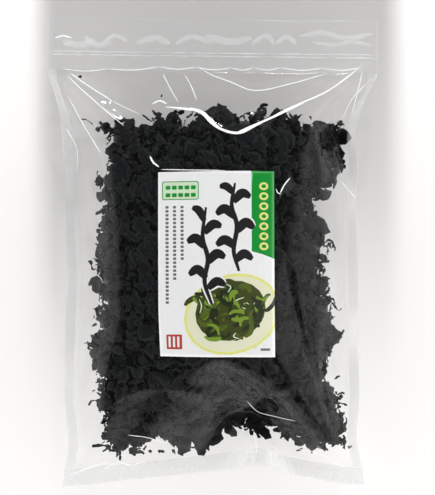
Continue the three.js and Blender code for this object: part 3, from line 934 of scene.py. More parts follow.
def painted_highlight_material(name, thick):
    """A painted highlight along the crest of a crease, white and glowing a little: thick is how much of
    the light it stops.
    """
    material, tree = new_material(name)
    patches = noise_at(tree, position(tree), *PAINTED_HIGHLIGHT_PATCHES)
    least, more = PAINTED_HIGHLIGHT_SHARE["least"] * thick, PAINTED_HIGHLIGHT_SHARE["patches"] * thick
    share = number(tree, "MULTIPLY_ADD", patches, more, least)
    glow = {"Emission Color": grey(1), "Emission Strength": PAINTED_HIGHLIGHT_GLOW}
    white = principled(tree, grey(PAINTED_HIGHLIGHT_AND_ZIP_WHITE), ROUGHNESS["crest"], **glow)
    surface(tree, blend(tree, share, see_through(tree, 1), white))
    return material


def zip_material():
    """Clear ridges, a little milky."""
    material, tree = new_material("zip_plastic")
    milk = number(tree, "MULTIPLY", noise_at(tree, position(tree), *ZIP_CLOUD), ZIP_MILK)
    milky = principled(tree, grey(PAINTED_HIGHLIGHT_AND_ZIP_WHITE), ROUGHNESS["zip"])
    surface(tree, blend(tree, milk, see_through(tree, ZIP_CLEAR), milky))
    return material


def wakame_material():
    """Dry leaf, near black: most pieces bluish or greenish, a few olive."""
    material, tree = new_material("dried_wakame")
    place = add_node(tree, "ShaderNodeNewGeometry")
    kind = add_node(tree, "ShaderNodeValToRGB", Fac=place.outputs["Random Per Island"])
    colours = kind.color_ramp.elements
    colours[0].color = (*WAKAME_BLACK, 1)
    colours[1].color = (*WAKAME_OLIVE, 1)
    for spot, colour in WAKAME_BETWEEN.items():
        colours.new(spot).color = (*colour, 1)
    blotches = noise_at(tree, place.outputs["Position"], *WAKAME_BLOTCHES)
    tone = number(tree, "MULTIPLY_ADD", blotches, WAKAME_TONE["range"], WAKAME_TONE["dark"])
    scaled = {"i0": kind.outputs["Color"], "Scale": tone}
    colour = add_node(tree, "ShaderNodeVectorMath", {"operation": "SCALE"}, **scaled).outputs[0]
    veins = bumped(tree, noise_at(tree, place.outputs["Position"], *WAKAME_VEINS), VEIN_BUMP)
    shine = {"Specular IOR Level": WAKAME_SPECULAR, "Normal": veins}
    surface(tree, principled(tree, colour, ROUGHNESS["wakame"], **shine))
    return material


def print_material(name, colour):
    """Coated paper or print, with faint mottling."""
    material, tree = new_material(f"print_{name}")
    mottle = noise_at(tree, position(tree), *PRINT_MOTTLE)
    tint = add_node(tree, "ShaderNodeValToRGB", Fac=mottle)
    tint.color_ramp.elements[0].color = (*[c * PRINT_DARK for c in colour], 1)
    tint.color_ramp.elements[1].color = (*colour, 1)
    coat = {"Coat Weight": PRINT_COAT}
    surface(tree, principled(tree, tint.outputs[0], ROUGHNESS["print"], **coat))
    return material


# ---------------------------------------------------------------- film and zip


def make_film():
    """Both films and their cut edge, in one piece."""
    front_out = front + normals_of(front) * FILM_HALF_GAP
    back_out = back - normals_of(back) * FILM_HALF_GAP
    points = np.concatenate([front_out.reshape(-1, 3), back_out.reshape(-1, 3)])
    count = net.along * net.across
    faces = grid_faces(net.along, net.across)
    faces += grid_faces(net.along, net.across, count, flip=True)
    rim = rim_of(net.along, net.across)
    for a, b in zip(rim, rim[1:] + rim[:1]):
        faces.append([a + count, b + count, b, a])
    sheet = np.stack([net.x, net.y], -1).reshape(-1, 2)
    film = make_piece(
        "film", points, faces, [film_material()], "clear_film", sheet=np.tile(sheet, (2, 1))
    )
    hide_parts("pouch")


def make_highlight_ribs(name, ribs, finish):
    """Painted highlights, each a thin white rib of three sides along a line on the film."""
    lifted = front + normals_of(front) * FILM_HALF_GAP
    tree = BVHTree.FromPolygons(lifted.reshape(-1, 3).tolist(), grid_faces(net.along, net.across))
    down = Vector((0, 0, -1))
    points, faces = [], []
    for crest, line in ribs:
        along = unit(np.gradient(line, axis=0))
        half = 0.5 * crest * (RIB_END + (1 - RIB_END) * fade(np.linspace(0, 1, len(line))))
        start = len(points)
        for (x, y), (ahead_x, ahead_y), reach in zip(line, along, half):
            for side, rise in ((-1, RIB_EDGE_RISE), (0, CREST_RISE), (1, RIB_EDGE_RISE)):
                spot = Vector((x - ahead_y * side * reach, y + ahead_x * side * reach, SKY))
                hit = tree.ray_cast(spot, down)[0]
                z = hit.z if hit is not None else 0.0
                points.append((spot.x, spot.y, z + rise))
        for n in range(len(line) - 1):
            a = start + 3 * n
            faces += [[a, a + 3, a + 4, a + 1], [a + 1, a + 4, a + 5, a + 2], [a + 2, a + 5, a + 3, a]]
        last = start + 3 * (len(line) - 1)
        faces += [[start, start + 1, start + 2], [last + 2, last + 1, last]]
    piece = make_piece(name, points, faces, [finish], "clear_film")
    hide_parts("pouch")


# White ribs that paint highlights on the creases and on the zip's end
def make_painted_highlights():
    ribs = [(crest, line) for _, _, crest, line in creases_on_film if crest]
    make_highlight_ribs("painted_highlights_creases", ribs, painted_highlight_material("painted_highlight_white", 1.0))
    header_highlights = [(width, line_on_film(pixels)) for width, pixels in PAINTED_HEADER_HIGHLIGHTS]
    make_highlight_ribs("painted_highlights_header", header_highlights, painted_highlight_material("painted_highlight_pale", HEADER_HIGHLIGHT_SHARE))


def on_front(x, y, offset):
    """Points over the front film at places on the flat sheet."""
    lifted = front + normals_of(front) * offset
    i, s = through_grid(net.columns, np.asarray(x, float))
    j, t = through_grid(net.rows, np.asarray(y, float))
    s, t = s[..., None], t[..., None]
    low = lifted[j, i] * (1 - s) + lifted[j, i + 1] * s
    high = lifted[j + 1, i] * (1 - s) + lifted[j + 1, i + 1] * s
    return low * (1 - t) + high * t


def make_zip():
    """Two rails, each a half-round ridge along the header."""
    points, faces = [], []
    stations = np.linspace(-HALF_WIDTH + ZIP_ENDS["left"], HALF_WIDTH - ZIP_ENDS["right"], ZIP_STATIONS)
    turns = np.linspace(0, math.pi, ZIP_TURNS)
    for side in (-1, 1):
        start = len(points)
        for turn in turns:
            y = ZIP_MIDDLE + side * ZIP_RIDGE_SPACING / 2 + ZIP_RIDGE["half_width"] * math.cos(turn)
            rise = ZIP_RIDGE["foot"] + ZIP_RIDGE["rise"] * math.sin(turn)
            points += on_front(stations, np.full(stations.shape, y), rise).tolist()
        faces += grid_faces(len(turns), len(stations), start, flip=True)
    rails = make_piece("zip_rails", points, faces, [zip_material()], "zip_plastic")
    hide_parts("pouch")


# ---------------------------------------------------------------- label


def rounded_box(left, low, right, high, radius, steps=5):
    corners = [
        (right - radius, low + radius, -90),
        (right - radius, high - radius, 0),
        (left + radius, high - radius, 90),
        (left + radius, low + radius, 180),
    ]
    points = []
    for x, y, first in corners:
        for n in range(steps + 1):
            turn = math.radians(first + 90 * n / steps)
            points.append((x + radius * math.cos(turn), y + radius * math.sin(turn)))
    return points


def ellipse(x, y, half_width, half_length, tilt=0, steps=20):
    points = []
    for n in range(steps):
        turn = 2 * math.pi * n / steps
        a, b = half_width * math.cos(turn), half_length * math.sin(turn)
        c, s = math.cos(math.radians(tilt)), math.sin(math.radians(tilt))
        points.append((x + a * c - b * s, y + a * s + b * c))
    return points


def stroke(points, width, steps=8):
    """The outline of a brush stroke along a smooth line, thin at its ends."""
    path = np.array(points, float)
    knots = np.arange(len(path), dtype=float)
    t = np.linspace(0, len(path) - 1, steps * (len(path) - 1) + 1)
    line = resampled(path, knots, t, 0)
    along = unit(np.gradient(line, axis=0))
    side = np.stack([-along[:, 1], along[:, 0]], -1)
    share = np.sin(np.pi * (BRUSH["start"] + BRUSH["span"] * t / t[-1])) ** BRUSH["power"]
    half = 0.5 * width * share[:, None]
    return [tuple(p) for p in np.concatenate([line + side * half, (line - side * half)[::-1]])]


def inside(points, outline):
    """Whether each point lies inside an outline."""
    x, y = points[:, 0], points[:, 1]
    found = np.zeros(len(points), bool)
    outline = np.array(outline)
    for (ax, ay), (bx, by) in zip(outline, np.roll(outline, -1, axis=0)):
        crosses = (ay > y) != (by > y)
        with np.errstate(divide="ignore", invalid="ignore"):
            found ^= crosses & (x < (bx - ax) * (y - ay) / (by - ay) + ax)
    return found


# The print, in millimetres on the label. The sprigs are brush strokes, each with its points and width.
SPRIGS = [
    ([(47, 50), (44, 62), (46, 76), (43, 88), (45, 101)], 2.8),
    ([(45, 56), (50, 60), (55, 57)], 5.4), ([(45, 64), (39, 68), (34, 65)], 5.6),
    ([(46, 73), (51, 78), (56, 75)], 5.8), ([(45, 81), (39, 86), (34, 83)], 5.6),
    ([(44, 90), (49, 95), (54, 93)], 5.4), ([(44, 95), (40, 99), (36, 99)], 4.6),
    ([(31, 31), (27, 44), (29, 57), (26, 70), (28, 87)], 2.8),
    ([(29, 40), (34, 44), (39, 42)], 5.2), ([(28, 46), (23, 51), (18, 48)], 5.4),
    ([(29, 55), (34, 60), (39, 58)], 5.6), ([(27, 64), (22, 69), (17, 67)], 5.6),
    ([(27, 72), (32, 77), (37, 76)], 5.4), ([(27, 79), (24, 85), (20, 87)], 4.8),
]  # fmt: skip
SPRIG_HALO = 2.4  # how much wider the white under each stroke is
BAND = [(54.6, LABEL_LENGTH), (54.6, 61.5), (61, 59.8), (LABEL_WIDTH, 57.1), (LABEL_WIDTH, LABEL_LENGTH)]
RINGS = {"count": 7, "x": 61.8, "top": 99.2, "spacing": 5.8, "outer": (2.7, 2.3), "inner": (1.4, 1.1)}
BOX = {"left": 2.3, "low": 91.5, "right": 23.8, "high": 102.4, "line": 0.5}
FIELDS = {"count": 5, "left": 4.4, "width": 2.8, "spacing": 3.7, "rows": (93.2, 97.6), "height": 2.2}
THIN_COLUMNS = {5.2: 32.7, 9.6: 46.2, 14.0: 56.2}  # their low ends, by how far across they are
COLUMN_MARKS = {"top": 88.0, "width": 1.8, "height": 1.5, "spacing": 2.3}
RED_SQUARE = (4.1, 4.4, 13.4, 13.2)  # left, low, right and high
SQUARE_BARS = {"count": 3, "inset": 1.2, "width": 1.3, "spacing": 2.6}
SMALL_BAR = (59.3, 3.8, 65, 5.2)  # left, low, right and high
CORNERS = {
    "box": 1.2, "in_box": 0.9, "field": 0.4, "mark": 0.3, "square": 0.6, "white_bar": 0.2, "grey_bar": 0.3,
}  # fmt: skip
BRUSH = {"start": 0.12, "span": 0.8, "power": 0.6}  # of the half sine that a stroke's width follows
PRINTS = {
    "white": (0.94, 0.94, 0.93),
    "green": (0.0, 0.3, 0.03),
    "pale_green": (0.7, 0.85, 0.6),
    "yellow": (0.85, 0.85, 0.25),
    "grey": (0.16, 0.16, 0.16),
    "cream": (0.85, 0.85, 0.62),
    "leaf": (0.05, 0.065, 0.008),
    "dark_leaf": (0.018, 0.025, 0.006),
    "mid_leaf": (0.09, 0.13, 0.012),
    "bright_leaf": (0.2, 0.33, 0.03),
    "black": (0.012, 0.01, 0.011),
    "red": (0.5, 0.05, 0.035),
}
DISH = {"x": 43, "y": 25, "half_width": 29, "half_length": 23, "tilt": 20, "rim": 1.6}
DISH_FILL = {"x": 42, "y": 27, "half_width": 21, "half_length": 17}
DISH_LEAVES = {"count": 90, "steps": 3, "step": (2.4, 4.4), "bend": 1.3, "width": (1.6, 3.6)}
DISH_HIGHLIGHTS = {"every": 9, "width": 0.7}  # on one leaf in so many
DISH_GREENS = ["leaf", "dark_leaf", "leaf", "dark_leaf", "mid_leaf", "bright_leaf"]
DISH_SEED = 21
LABEL_CELLS = (35, 55)  # points across and along the sheet, besides those of the print
CUT_TOUCH = 1e-4  # points of the print this near to each other become one


def dish_shapes():
    """A rimmed dish of seaweed, as curled strokes in a few greens."""
    x, y, tilt, rim = DISH["x"], DISH["y"], DISH["tilt"], DISH["rim"]
    wide, long = DISH["half_width"], DISH["half_length"]
    fill_wide, fill_long = DISH_FILL["half_width"], DISH_FILL["half_length"]
    fill_middle = (DISH_FILL["x"], DISH_FILL["y"])
    shapes = [
        ("yellow", ellipse(x, y, wide, long, tilt)),
        ("cream", ellipse(x, y, wide - rim, long - rim, tilt)),
        ("leaf", ellipse(*fill_middle, fill_wide, fill_long, tilt)),
    ]
    draw = np.random.default_rng(DISH_SEED)
    for n in range(DISH_LEAVES["count"]):
        turn, out = draw.uniform(0, 2 * math.pi), math.sqrt(draw.uniform(0, 1))
        reach = (fill_wide * out * math.cos(turn), fill_long * out * math.sin(turn))
        middle = np.add(fill_middle, reach)
        ahead = draw.uniform(0, 2 * math.pi)
        bend = draw.normal(0, DISH_LEAVES["bend"])
        points = [middle]
        for _ in range(DISH_LEAVES["steps"]):
            heading = np.array([math.cos(ahead), math.sin(ahead)])
            middle = middle + draw.uniform(*DISH_LEAVES["step"]) * heading
            ahead += bend
            points.append(middle)
        leaf = stroke(points, draw.uniform(*DISH_LEAVES["width"]))
        shapes.append((DISH_GREENS[n % len(DISH_GREENS)], leaf))
        if n % DISH_HIGHLIGHTS["every"] == 0:
            shapes.append(("pale_green", stroke(points[:3], DISH_HIGHLIGHTS["width"])))
    return shapes


def box_shapes():
    """A pale box with rows of small fields, and three thin columns of grey marks under it."""
    left, low, right, high, line = BOX["left"], BOX["low"], BOX["right"], BOX["high"], BOX["line"]
    shapes = [
        ("green", rounded_box(left, low, right, high, CORNERS["box"])),
        (
            "pale_green",
            rounded_box(left + line, low + line, right - line, high - line, CORNERS["in_box"]),
        ),
    ]
    for y in FIELDS["rows"]:
        for n in range(FIELDS["count"]):
            x = FIELDS["left"] + FIELDS["spacing"] * n
            sides = (x, y, x + FIELDS["width"], y + FIELDS["height"])
            shapes.append(("green", rounded_box(*sides, CORNERS["field"])))
    half = COLUMN_MARKS["width"] / 2
    for x, low in THIN_COLUMNS.items():
        y = COLUMN_MARKS["top"]
        while y > low:
            sides = (x - half, y - COLUMN_MARKS["height"], x + half, y)
            shapes.append(("grey", rounded_box(*sides, CORNERS["mark"])))
            y -= COLUMN_MARKS["spacing"]
    return shapes


def label_shapes():
    """The print, from the lowest layer up, as (finish, outline) in millimetres on the label."""
    shapes = [("green", BAND)]
    for n in range(RINGS["count"]):
        y = RINGS["top"] - RINGS["spacing"] * n
        shapes.append(("yellow", ellipse(RINGS["x"], y, *RINGS["outer"])))
        shapes.append(("green", ellipse(RINGS["x"], y, *RINGS["inner"])))
    shapes += box_shapes() + dish_shapes()
    for finish, spare in (("white", SPRIG_HALO), ("black", 0)):
        for points, width in SPRIGS:
            shapes.append((finish, stroke(points, width + spare)))
    left, low, right, high = RED_SQUARE
    inset = SQUARE_BARS["inset"]
    shapes.append(("red", rounded_box(left, low, right, high, CORNERS["square"])))
    for n in range(SQUARE_BARS["count"]):
        x = left + inset + SQUARE_BARS["spacing"] * n
        sides = (x, low + inset, x + SQUARE_BARS["width"], high - inset)
        shapes.append(("white", rounded_box(*sides, CORNERS["white_bar"])))
    shapes.append(("grey", rounded_box(*SMALL_BAR, CORNERS["grey_bar"])))
    return shapes


def make_label():
    """A thin sheet over the film, its faces cut along the outlines of the print."""
    shapes = label_shapes()
    x = np.linspace(0, LABEL_WIDTH, LABEL_CELLS[0])
    y = np.linspace(0, LABEL_LENGTH, LABEL_CELLS[1])
    spots = [Vector((float(a), float(b))) for b in y for a in x]
    rim = rim_of(len(y), len(x))
    edges = list(zip(rim, rim[1:] + rim[:1]))
    for _, outline in shapes:
        start = len(spots)
        kept = np.clip(outline, 0, (LABEL_WIDTH, LABEL_LENGTH))
        spots += [Vector(spot) for spot in kept.tolist()]
        edges += [(start + n, start + (n + 1) % len(outline)) for n in range(len(outline))]
    cut = delaunay_2d_cdt(spots, edges, [], 0, CUT_TOUCH)
    flat = np.array([tuple(v) for v in cut[0]])
    faces = np.array([list(f) for f in cut[2]])
    corners = flat[faces]
    area = np.cross(corners[:, 1] - corners[:, 0], corners[:, 2] - corners[:, 0])
    faces[area < 0] = faces[area < 0][:, ::-1]
    middles = corners.mean(1)

    names = list(PRINTS)
    finish = np.zeros(len(faces), int)
    for name, outline in shapes:
        finish[inside(middles, outline)] = names.index(name)

    over = on_front(LABEL_LEFT + flat[:, 0], LABEL_LOW + flat[:, 1], LABEL_GAP + LABEL_THICKNESS)
    under = on_front(LABEL_LEFT + flat[:, 0], LABEL_LOW + flat[:, 1], LABEL_GAP)
    count = len(flat)
    points = np.concatenate([over, under])
    all_faces = faces.tolist() + (faces[:, ::-1] + count).tolist()
    directed = {(a, b) for f in faces.tolist() for a, b in zip(f, f[1:] + f[:1])}
    border = [(a, b) for a, b in directed if (b, a) not in directed]
    all_faces += [[b, a, a + count, b + count] for a, b in sorted(border)]
    face_materials = finish.tolist() + [0] * (len(faces) + len(border))
    materials = [print_material(name, colour) for name, colour in PRINTS.items()]
    label = make_piece(
        "label_sheet", points, all_faces, materials, "label_paper", face_materials=face_materials
    )
    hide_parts("label")


# ---------------------------------------------------------------- wakame

# The outline of the contents, in pixels of the photograph, and how uneven it is
OUTLINE = [
    (92, 122), (127, 119), (147, 124), (165, 113), (190, 114), (240, 111), (283, 117), (317, 121),
    (342, 118), (345, 143), (340, 165), (327, 187), (315, 214), (328, 245), (328, 270), (336, 325),
    (339, 350), (320, 384), (345, 398), (342, 425), (345, 446), (303, 444), (262, 429), (234, 441),
    (202, 449), (165, 441), (132, 457), (104, 443), (101, 416), (95, 404), (99, 380), (89, 345),
    (98, 300), (92, 268), (98, 225), (104, 203), (100, 180), (110, 155), (103, 132),
]  # fmt: skip
OUTLINE_NOISE = {"rise": 1.3, "size": 6}
# The kinds of pieces: how many, how far inside the outline, how deep under the film on average, how
# long and wide, with the width as a share of the length where wide_by_length says so, points along and
# across, radians of curl and twist from end to end, crinkle in millimetres, raggedness as a share of
# the width, thickness, and how far each tilts from the film.
KINDS = {
    "wakame_leaves": {
        "count": 1100, "inside": 1.5, "depth": 0.9, "length": (9, 21), "width": (0.35, 0.6),
        "wide_by_length": True, "shape": (9, 5), "curl": 2.4, "twist": 1.6, "crinkle": 0.3,
        "ragged": 0.25, "thickness": 0.22, "tilt": 0.22,
    },
    "wakame_chips": {
        "count": 1500, "inside": -0.5, "depth": 2.6, "length": (3.5, 8), "width": (0.35, 0.75),
        "wide_by_length": True, "shape": (6, 4), "curl": 2.0, "twist": 1.5, "crinkle": 0.35,
        "ragged": 0.3, "thickness": 0.22, "tilt": 0.4,
    },
    "wakame_shreds": {
        "count": 450, "inside": -0.5, "depth": 1.6, "length": (7, 18), "width": (1.0, 2.6),
        "wide_by_length": False, "shape": (12, 3), "curl": 4.0, "twist": 3.0, "crinkle": 0.2,
        "ragged": 0.3, "thickness": 0.3, "tilt": 0.3,
    },
    "wakame_crumbs": {
        "count": 1200, "inside": -1.5, "depth": 2.5, "length": (1.2, 3.4), "width": (0.4, 0.9),
        "wide_by_length": True, "shape": (3, 3), "curl": 1.5, "twist": 1.0, "crinkle": 0.15,
        "ragged": 0.3, "thickness": 0.25, "tilt": 0.6,
    },
}  # fmt: skip
LOOSE_KIND = {
    "shape": (9, 4), "curl": 1.6, "twist": 1.2, "crinkle": 0.15, "ragged": 0.3, "thickness": 0.25,
    "tilt": 0.2,
}  # fmt: skip
# Loose pieces beyond the heap: pixel of the photograph, length and width
LOOSE = [
    ((80, 76), 3.5, 1.6), ((161, 94), 3.0, 1.4), ((86, 120), 9, 1.2), ((146, 116), 8, 1.2),
    ((89, 265), 6, 3), ((92, 318), 7, 1.2), ((97, 408), 9, 1.4), ((102, 448), 16, 2.6),
    ((150, 452), 3, 2), ((161, 452), 4, 2), ((174, 452), 4, 2), ((300, 450), 5, 1.2),
    ((316, 447), 5, 1), ((350, 447), 5, 1.4), ((338, 378), 6, 1.2), ((343, 404), 9, 1.4),
    ((120, 456), 6, 1.6), ((226, 108), 6, 2.4), ((262, 110), 5, 2.2), ((197, 446), 6, 2.4),
]  # fmt: skip
SCATTER_MARGIN = 6  # beyond the outline, where places are tried
LEAST_ROOM = 0.8  # between the films, for a piece to lie there
LEAST_DEPTH = 0.3  # of a piece's middle under the film
LOW_SHARE = 0.15  # share of the pieces that lie near the back film
ROOM_MARGIN = 0.2  # that a piece's middle keeps from the room's top and bottom
FAR_ABOVE = 100.0  # the room's top where there is no film
SLOPE_REACH = 2.0  # either way from a place, for the film's slope there
LEAF_END = 0.3  # share of a piece's width that it has at its ends
LEAF_ROUND = 0.97  # how far along its half length its outline is an ellipse's
LEAF_CUP = 0.12  # how far its edges rise, as a share of its width
EDGE_LIMITS = (0.25, 1.8)  # of a ragged edge, as shares of half the width
CORE_STEP = 1.6  # of its grid
CORE_INSET = 4  # of its edge from the contents' outline
CORE_TAPER = 9  # millimetres in from its edge over which it thickens
CORE_GAPS = {"top": 3.0, "bottom": 1.5}  # from the room's top and bottom
CORE_RELIEF = {"top": 0.9, "bottom": 0.6, "size": 4}
CORE_LEAST = 0.15  # half its thickness, under which it stops
CORE_MARGIN = 0.1  # that it keeps from the room's top and bottom
WAKAME_SEED = 5

random = np.random.default_rng(WAKAME_SEED)
edge_noise = smooth_noise(random, HEIGHT_COUNT[::-1], HEIGHT_CELL, OUTLINE_NOISE["size"])
outline = seen(OUTLINE)


def contents_reach(x, y):
    """How far inside the contents' uneven outline a place is, in millimetres."""
    spots = np.stack([x, y], -1)
    a, b = outline, np.roll(outline, -1, axis=0)
    step = b - a
    away = np.full(x.shape, np.inf)
    for corner, edge in zip(a, step):
        t = np.clip(((spots - corner) * edge).sum(-1) / (edge**2).sum(), 0, 1)
        away = np.minimum(away, np.linalg.norm(spots - corner - edge * t[..., None], axis=-1))
    within = inside(spots.reshape(-1, 2), outline).reshape(x.shape)
    return np.where(within, away, -away) + OUTLINE_NOISE["rise"] * heights.read(edge_noise, x, y)


def scatter(count, spare):
    """Random places in the contents' outline, more than spare millimetres inside it."""
    low, high = outline.min(0) - SCATTER_MARGIN, outline.max(0) + SCATTER_MARGIN
    found = np.zeros((0, 2))
    while len(found) < count:
        x = random.uniform(low[0], high[0], 2 * count)
        y = random.uniform(low[1], high[1], 2 * count)
        under, over = heights.room(x, y)
        keep = (contents_reach(x, y) > spare) & (over - under > LEAST_ROOM)
        found = np.concatenate([found, np.stack([x, y], -1)[keep]])
    return found[:count]


def piece_heights(places, mean_depth):
    """Heights near the front film, some near the back one."""
    low, high = heights.room(places[:, 0], places[:, 1])
    depth = LEAST_DEPTH + random.exponential(mean_depth, len(places))
    below = random.random(len(places)) < LOW_SHARE
    z = np.where(below, low + depth, high - depth)
    return np.clip(z, low + ROOM_MARGIN, high - ROOM_MARGIN)


def film_normals_at(x, y):
    """Upward unit normals of the front film over places on the ground."""
    step = SLOPE_REACH
    dx = heights.read(heights.front, x + step, y) - heights.read(heights.front, x - step, y)
    dy = heights.read(heights.front, x, y + step) - heights.read(heights.front, x, y - step)
    normals = np.stack([-dx / (2 * step), -dy / (2 * step), np.ones(len(x))], -1)
    normals[~np.isfinite(normals).all(-1)] = (0, 0, 1)
    return unit(normals)


def thin_solid_faces(along, across):
    """Triangles of a thin solid of two grids, cut alike on both faces, and its rim."""
    count = along * across
    quads = np.array(grid_faces(along, across))
    halves = np.concatenate([quads[:, [0, 1, 2]], quads[:, [0, 2, 3]]])
    rim = np.array(rim_of(along, across))
    after = np.roll(rim, -1)
    walls = np.concatenate([
        np.stack([rim, rim + count, after + count], -1),
        np.stack([rim, after + count, after], -1),
    ])
    return np.concatenate([halves, halves[:, ::-1] + count, walls])


def bent_lines(places, length, along, curl, twist, tilt):
    """The middle line of each piece, and the directions across it and out of it."""
    count = len(places)
    up = unit(film_normals_at(places[:, 0], places[:, 1]) + random.normal(0, tilt, (count, 3)))
    ahead = random.normal(size=(count, 3))
    ahead = unit(ahead - (ahead * up).sum(-1, keepdims=True) * up)
    side = np.cross(up, ahead)
    curls = random.normal(0, curl, (along, count, 1)) + random.normal(0, curl, (count, 1))
    turns = random.normal(0, curl, (along, count, 1))
    twists = random.normal(0, twist, (along, count, 1)) + random.normal(0, twist, (count, 1))
    step = (length / (along - 1))[:, None]
    middle = np.zeros((count, 3))
    line, sides, ups = [], [], []
    for n in range(along):
        line.append(middle)
        sides.append(side)
        ups.append(up)
        ahead = unit(ahead + (curls[n] * up + turns[n] * side) / (along - 1))
        side = unit(side - (side * ahead).sum(-1, keepdims=True) * ahead + twists[n] * up / (along - 1))
        up = np.cross(ahead, side)
        middle = middle + ahead * step
    line = np.array(line)
    return line - line.mean(0), np.array(sides), np.array(ups)


def thin_pieces(places, z, length, width, kind):
    """Thin wavy solids with crinkled faces and ragged edges."""
    along, across = kind["shape"]
    count, thickness = len(places), kind["thickness"]
    line, sides, ups = bent_lines(places, length, along, kind["curl"], kind["twist"], kind["tilt"])
    s = np.linspace(-1, 1, along)
    taper = LEAF_END + (1 - LEAF_END) * np.sqrt(np.maximum(0, 1 - (s * LEAF_ROUND) ** 2))
    cup = random.normal(0, LEAF_CUP, (count, 1)) * width[:, None]
    edges = 1 + kind["ragged"] * random.normal(size=(2, along, count))
    edges = np.clip(edges, *EDGE_LIMITS)
    points = np.zeros((count, along, across, 3))
    for n, share in enumerate(np.linspace(-1, 1, across)):
        half = 0.5 * width * taper[:, None] * edges[int(share > 0)]
        rise = kind["crinkle"] * random.normal(size=(along, count, 1)) + cup * share**2
        spot = line + sides * (half * share)[..., None] + ups * rise
        points[:, :, n] = spot.transpose(1, 0, 2)
    points[..., :2] += places[:, None, None, :]
    points[..., 2] += z[:, None, None]
    low, high = heights.room(points[..., 0], points[..., 1])
    low = np.where(np.isfinite(low), low, 0) + thickness / 2
    high = np.where(np.isfinite(high), high, FAR_ABOVE) - thickness / 2
    points[..., 2] = np.clip(points[..., 2], np.minimum(low, high), high)

    normals = np.cross(np.gradient(points, axis=2), np.gradient(points, axis=1))
    size = np.linalg.norm(normals, axis=-1, keepdims=True)
    normals = np.where(size > TINY, normals / np.maximum(size, TINY), (0, 0, 1))
    over = (points - normals * thickness / 2).reshape(count, -1, 3)
    under = (points + normals * thickness / 2).reshape(count, -1, 3)
    all_points = np.concatenate([over, under], 1).reshape(-1, 3)
    offsets = np.arange(count)[:, None, None] * 2 * along * across
    faces = (thin_solid_faces(along, across)[None] + offsets).reshape(-1, 3)
    return all_points, faces.tolist()


def add_contents(name, points, faces, finish):
    piece = make_piece(name, points, faces, [finish], "dried_wakame")
    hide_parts("pouch")


def make_kind(name, kind, finish):
    """All pieces of one kind, scattered in the heap."""
    count = kind["count"]
    places = scatter(count, kind["inside"])
    z = piece_heights(places, kind["depth"])
    length = random.uniform(*kind["length"], count)
    width = random.uniform(*kind["width"], count)
    if kind["wide_by_length"]:
        width = length * width
    add_contents(name, *thin_pieces(places, z, length, width, kind), finish)


def make_loose(finish):
    places = seen([pixel for pixel, _, _ in LOOSE])
    low, high = heights.room(places[:, 0], places[:, 1])
    length = np.array([row[1] for row in LOOSE], float)
    width = np.array([row[2] for row in LOOSE], float)
    pieces = thin_pieces(places, (low + high) / 2, length, width, LOOSE_KIND)
    add_contents("wakame_loose", *pieces, finish)


def make_core(finish):
    """The dense inside of the heap, a little below the film, as one closed lumpy solid."""
    edge_low, edge_high = outline.min(0) - CORE_INSET, outline.max(0) + CORE_INSET
    lines = [np.arange(edge_low[k], edge_high[k], CORE_STEP) for k in (0, 1)]
    grid_x, grid_y = np.meshgrid(*lines)
    low, high = heights.room(grid_x, grid_y)
    reach = contents_reach(grid_x, grid_y) - CORE_INSET
    thick = np.clip(reach / CORE_TAPER, 0, 1) ** 0.5
    relief = smooth_noise(random, (2, *grid_x.shape), CORE_STEP, CORE_RELIEF["size"])
    top = high - CORE_GAPS["top"] + CORE_RELIEF["top"] * relief[0]
    bottom = low + CORE_GAPS["bottom"] + CORE_RELIEF["bottom"] * relief[1]
    middle = (top + bottom) / 2
    half = np.maximum((top - bottom) / 2, 0) * thick
    filled = (reach > 0) & (half > CORE_LEAST) & np.isfinite(half)
    top = np.where(filled, np.minimum(middle + half, high - CORE_MARGIN), middle)
    bottom = np.where(filled, np.maximum(middle - half, low + CORE_MARGIN), middle)
    cells = filled[:-1, :-1] | filled[1:, :-1] | filled[:-1, 1:] | filled[1:, 1:]
    cells &= np.isfinite(middle[:-1, :-1] + middle[1:, :-1] + middle[:-1, 1:] + middle[1:, 1:])
    numbers = -np.ones((2, *grid_x.shape), int)
    points, faces = [], []

    def point(layer, j, i):
        if not filled[j, i]:
            layer = 0
        if numbers[layer, j, i] < 0:
            numbers[layer, j, i] = len(points)
            height = (top, bottom)[layer][j, i]
            points.append((grid_x[j, i], grid_y[j, i], height))
        return int(numbers[layer, j, i])

    for j, i in zip(*np.nonzero(cells)):
        corners = [(j, i), (j, i + 1), (j + 1, i + 1), (j + 1, i)]
        upper = [point(0, *c) for c in corners]
        lower = [point(1, *c) for c in corners]
        if upper != lower:
            faces += [upper, lower[::-1]]
    add_contents("wakame_core", points, faces, finish)


# ---------------------------------------------------------------- stage, lights and camera


def floor_material():
    """White board that glows, with a painted soft grey shade under and behind the zip's end."""
    material, tree = new_material("floor_white")
    place = add_node(tree, "ShaderNodeSeparateXYZ", Vector=position(tree))
    out = number(tree, "ABSOLUTE", number(tree, "SUBTRACT", place.outputs["X"], SHADE_MIDDLE))
    near = number(tree, "SUBTRACT", 1.0, ramp(tree, out, *SHADE_SIDE))
    inward = number(tree, "SUBTRACT", 1.0, ramp(tree, place.outputs["Y"], *SHADE_FAR))
    upward = ramp(tree, place.outputs["Y"], *SHADE_ALONG)
    shade = number(tree, "MULTIPLY", number(tree, "MULTIPLY", near, inward), upward)
    glow = number(tree, "MULTIPLY_ADD", shade, -FLOOR_GLOW * SHADE_DEPTH, FLOOR_GLOW)
    light = {"Emission Color": (*FLOOR_GLOW_COLOUR, 1), "Emission Strength": glow}
    surface(tree, principled(tree, (*FLOOR_COLOUR, 1), ROUGHNESS["floor"], **light))
    return material


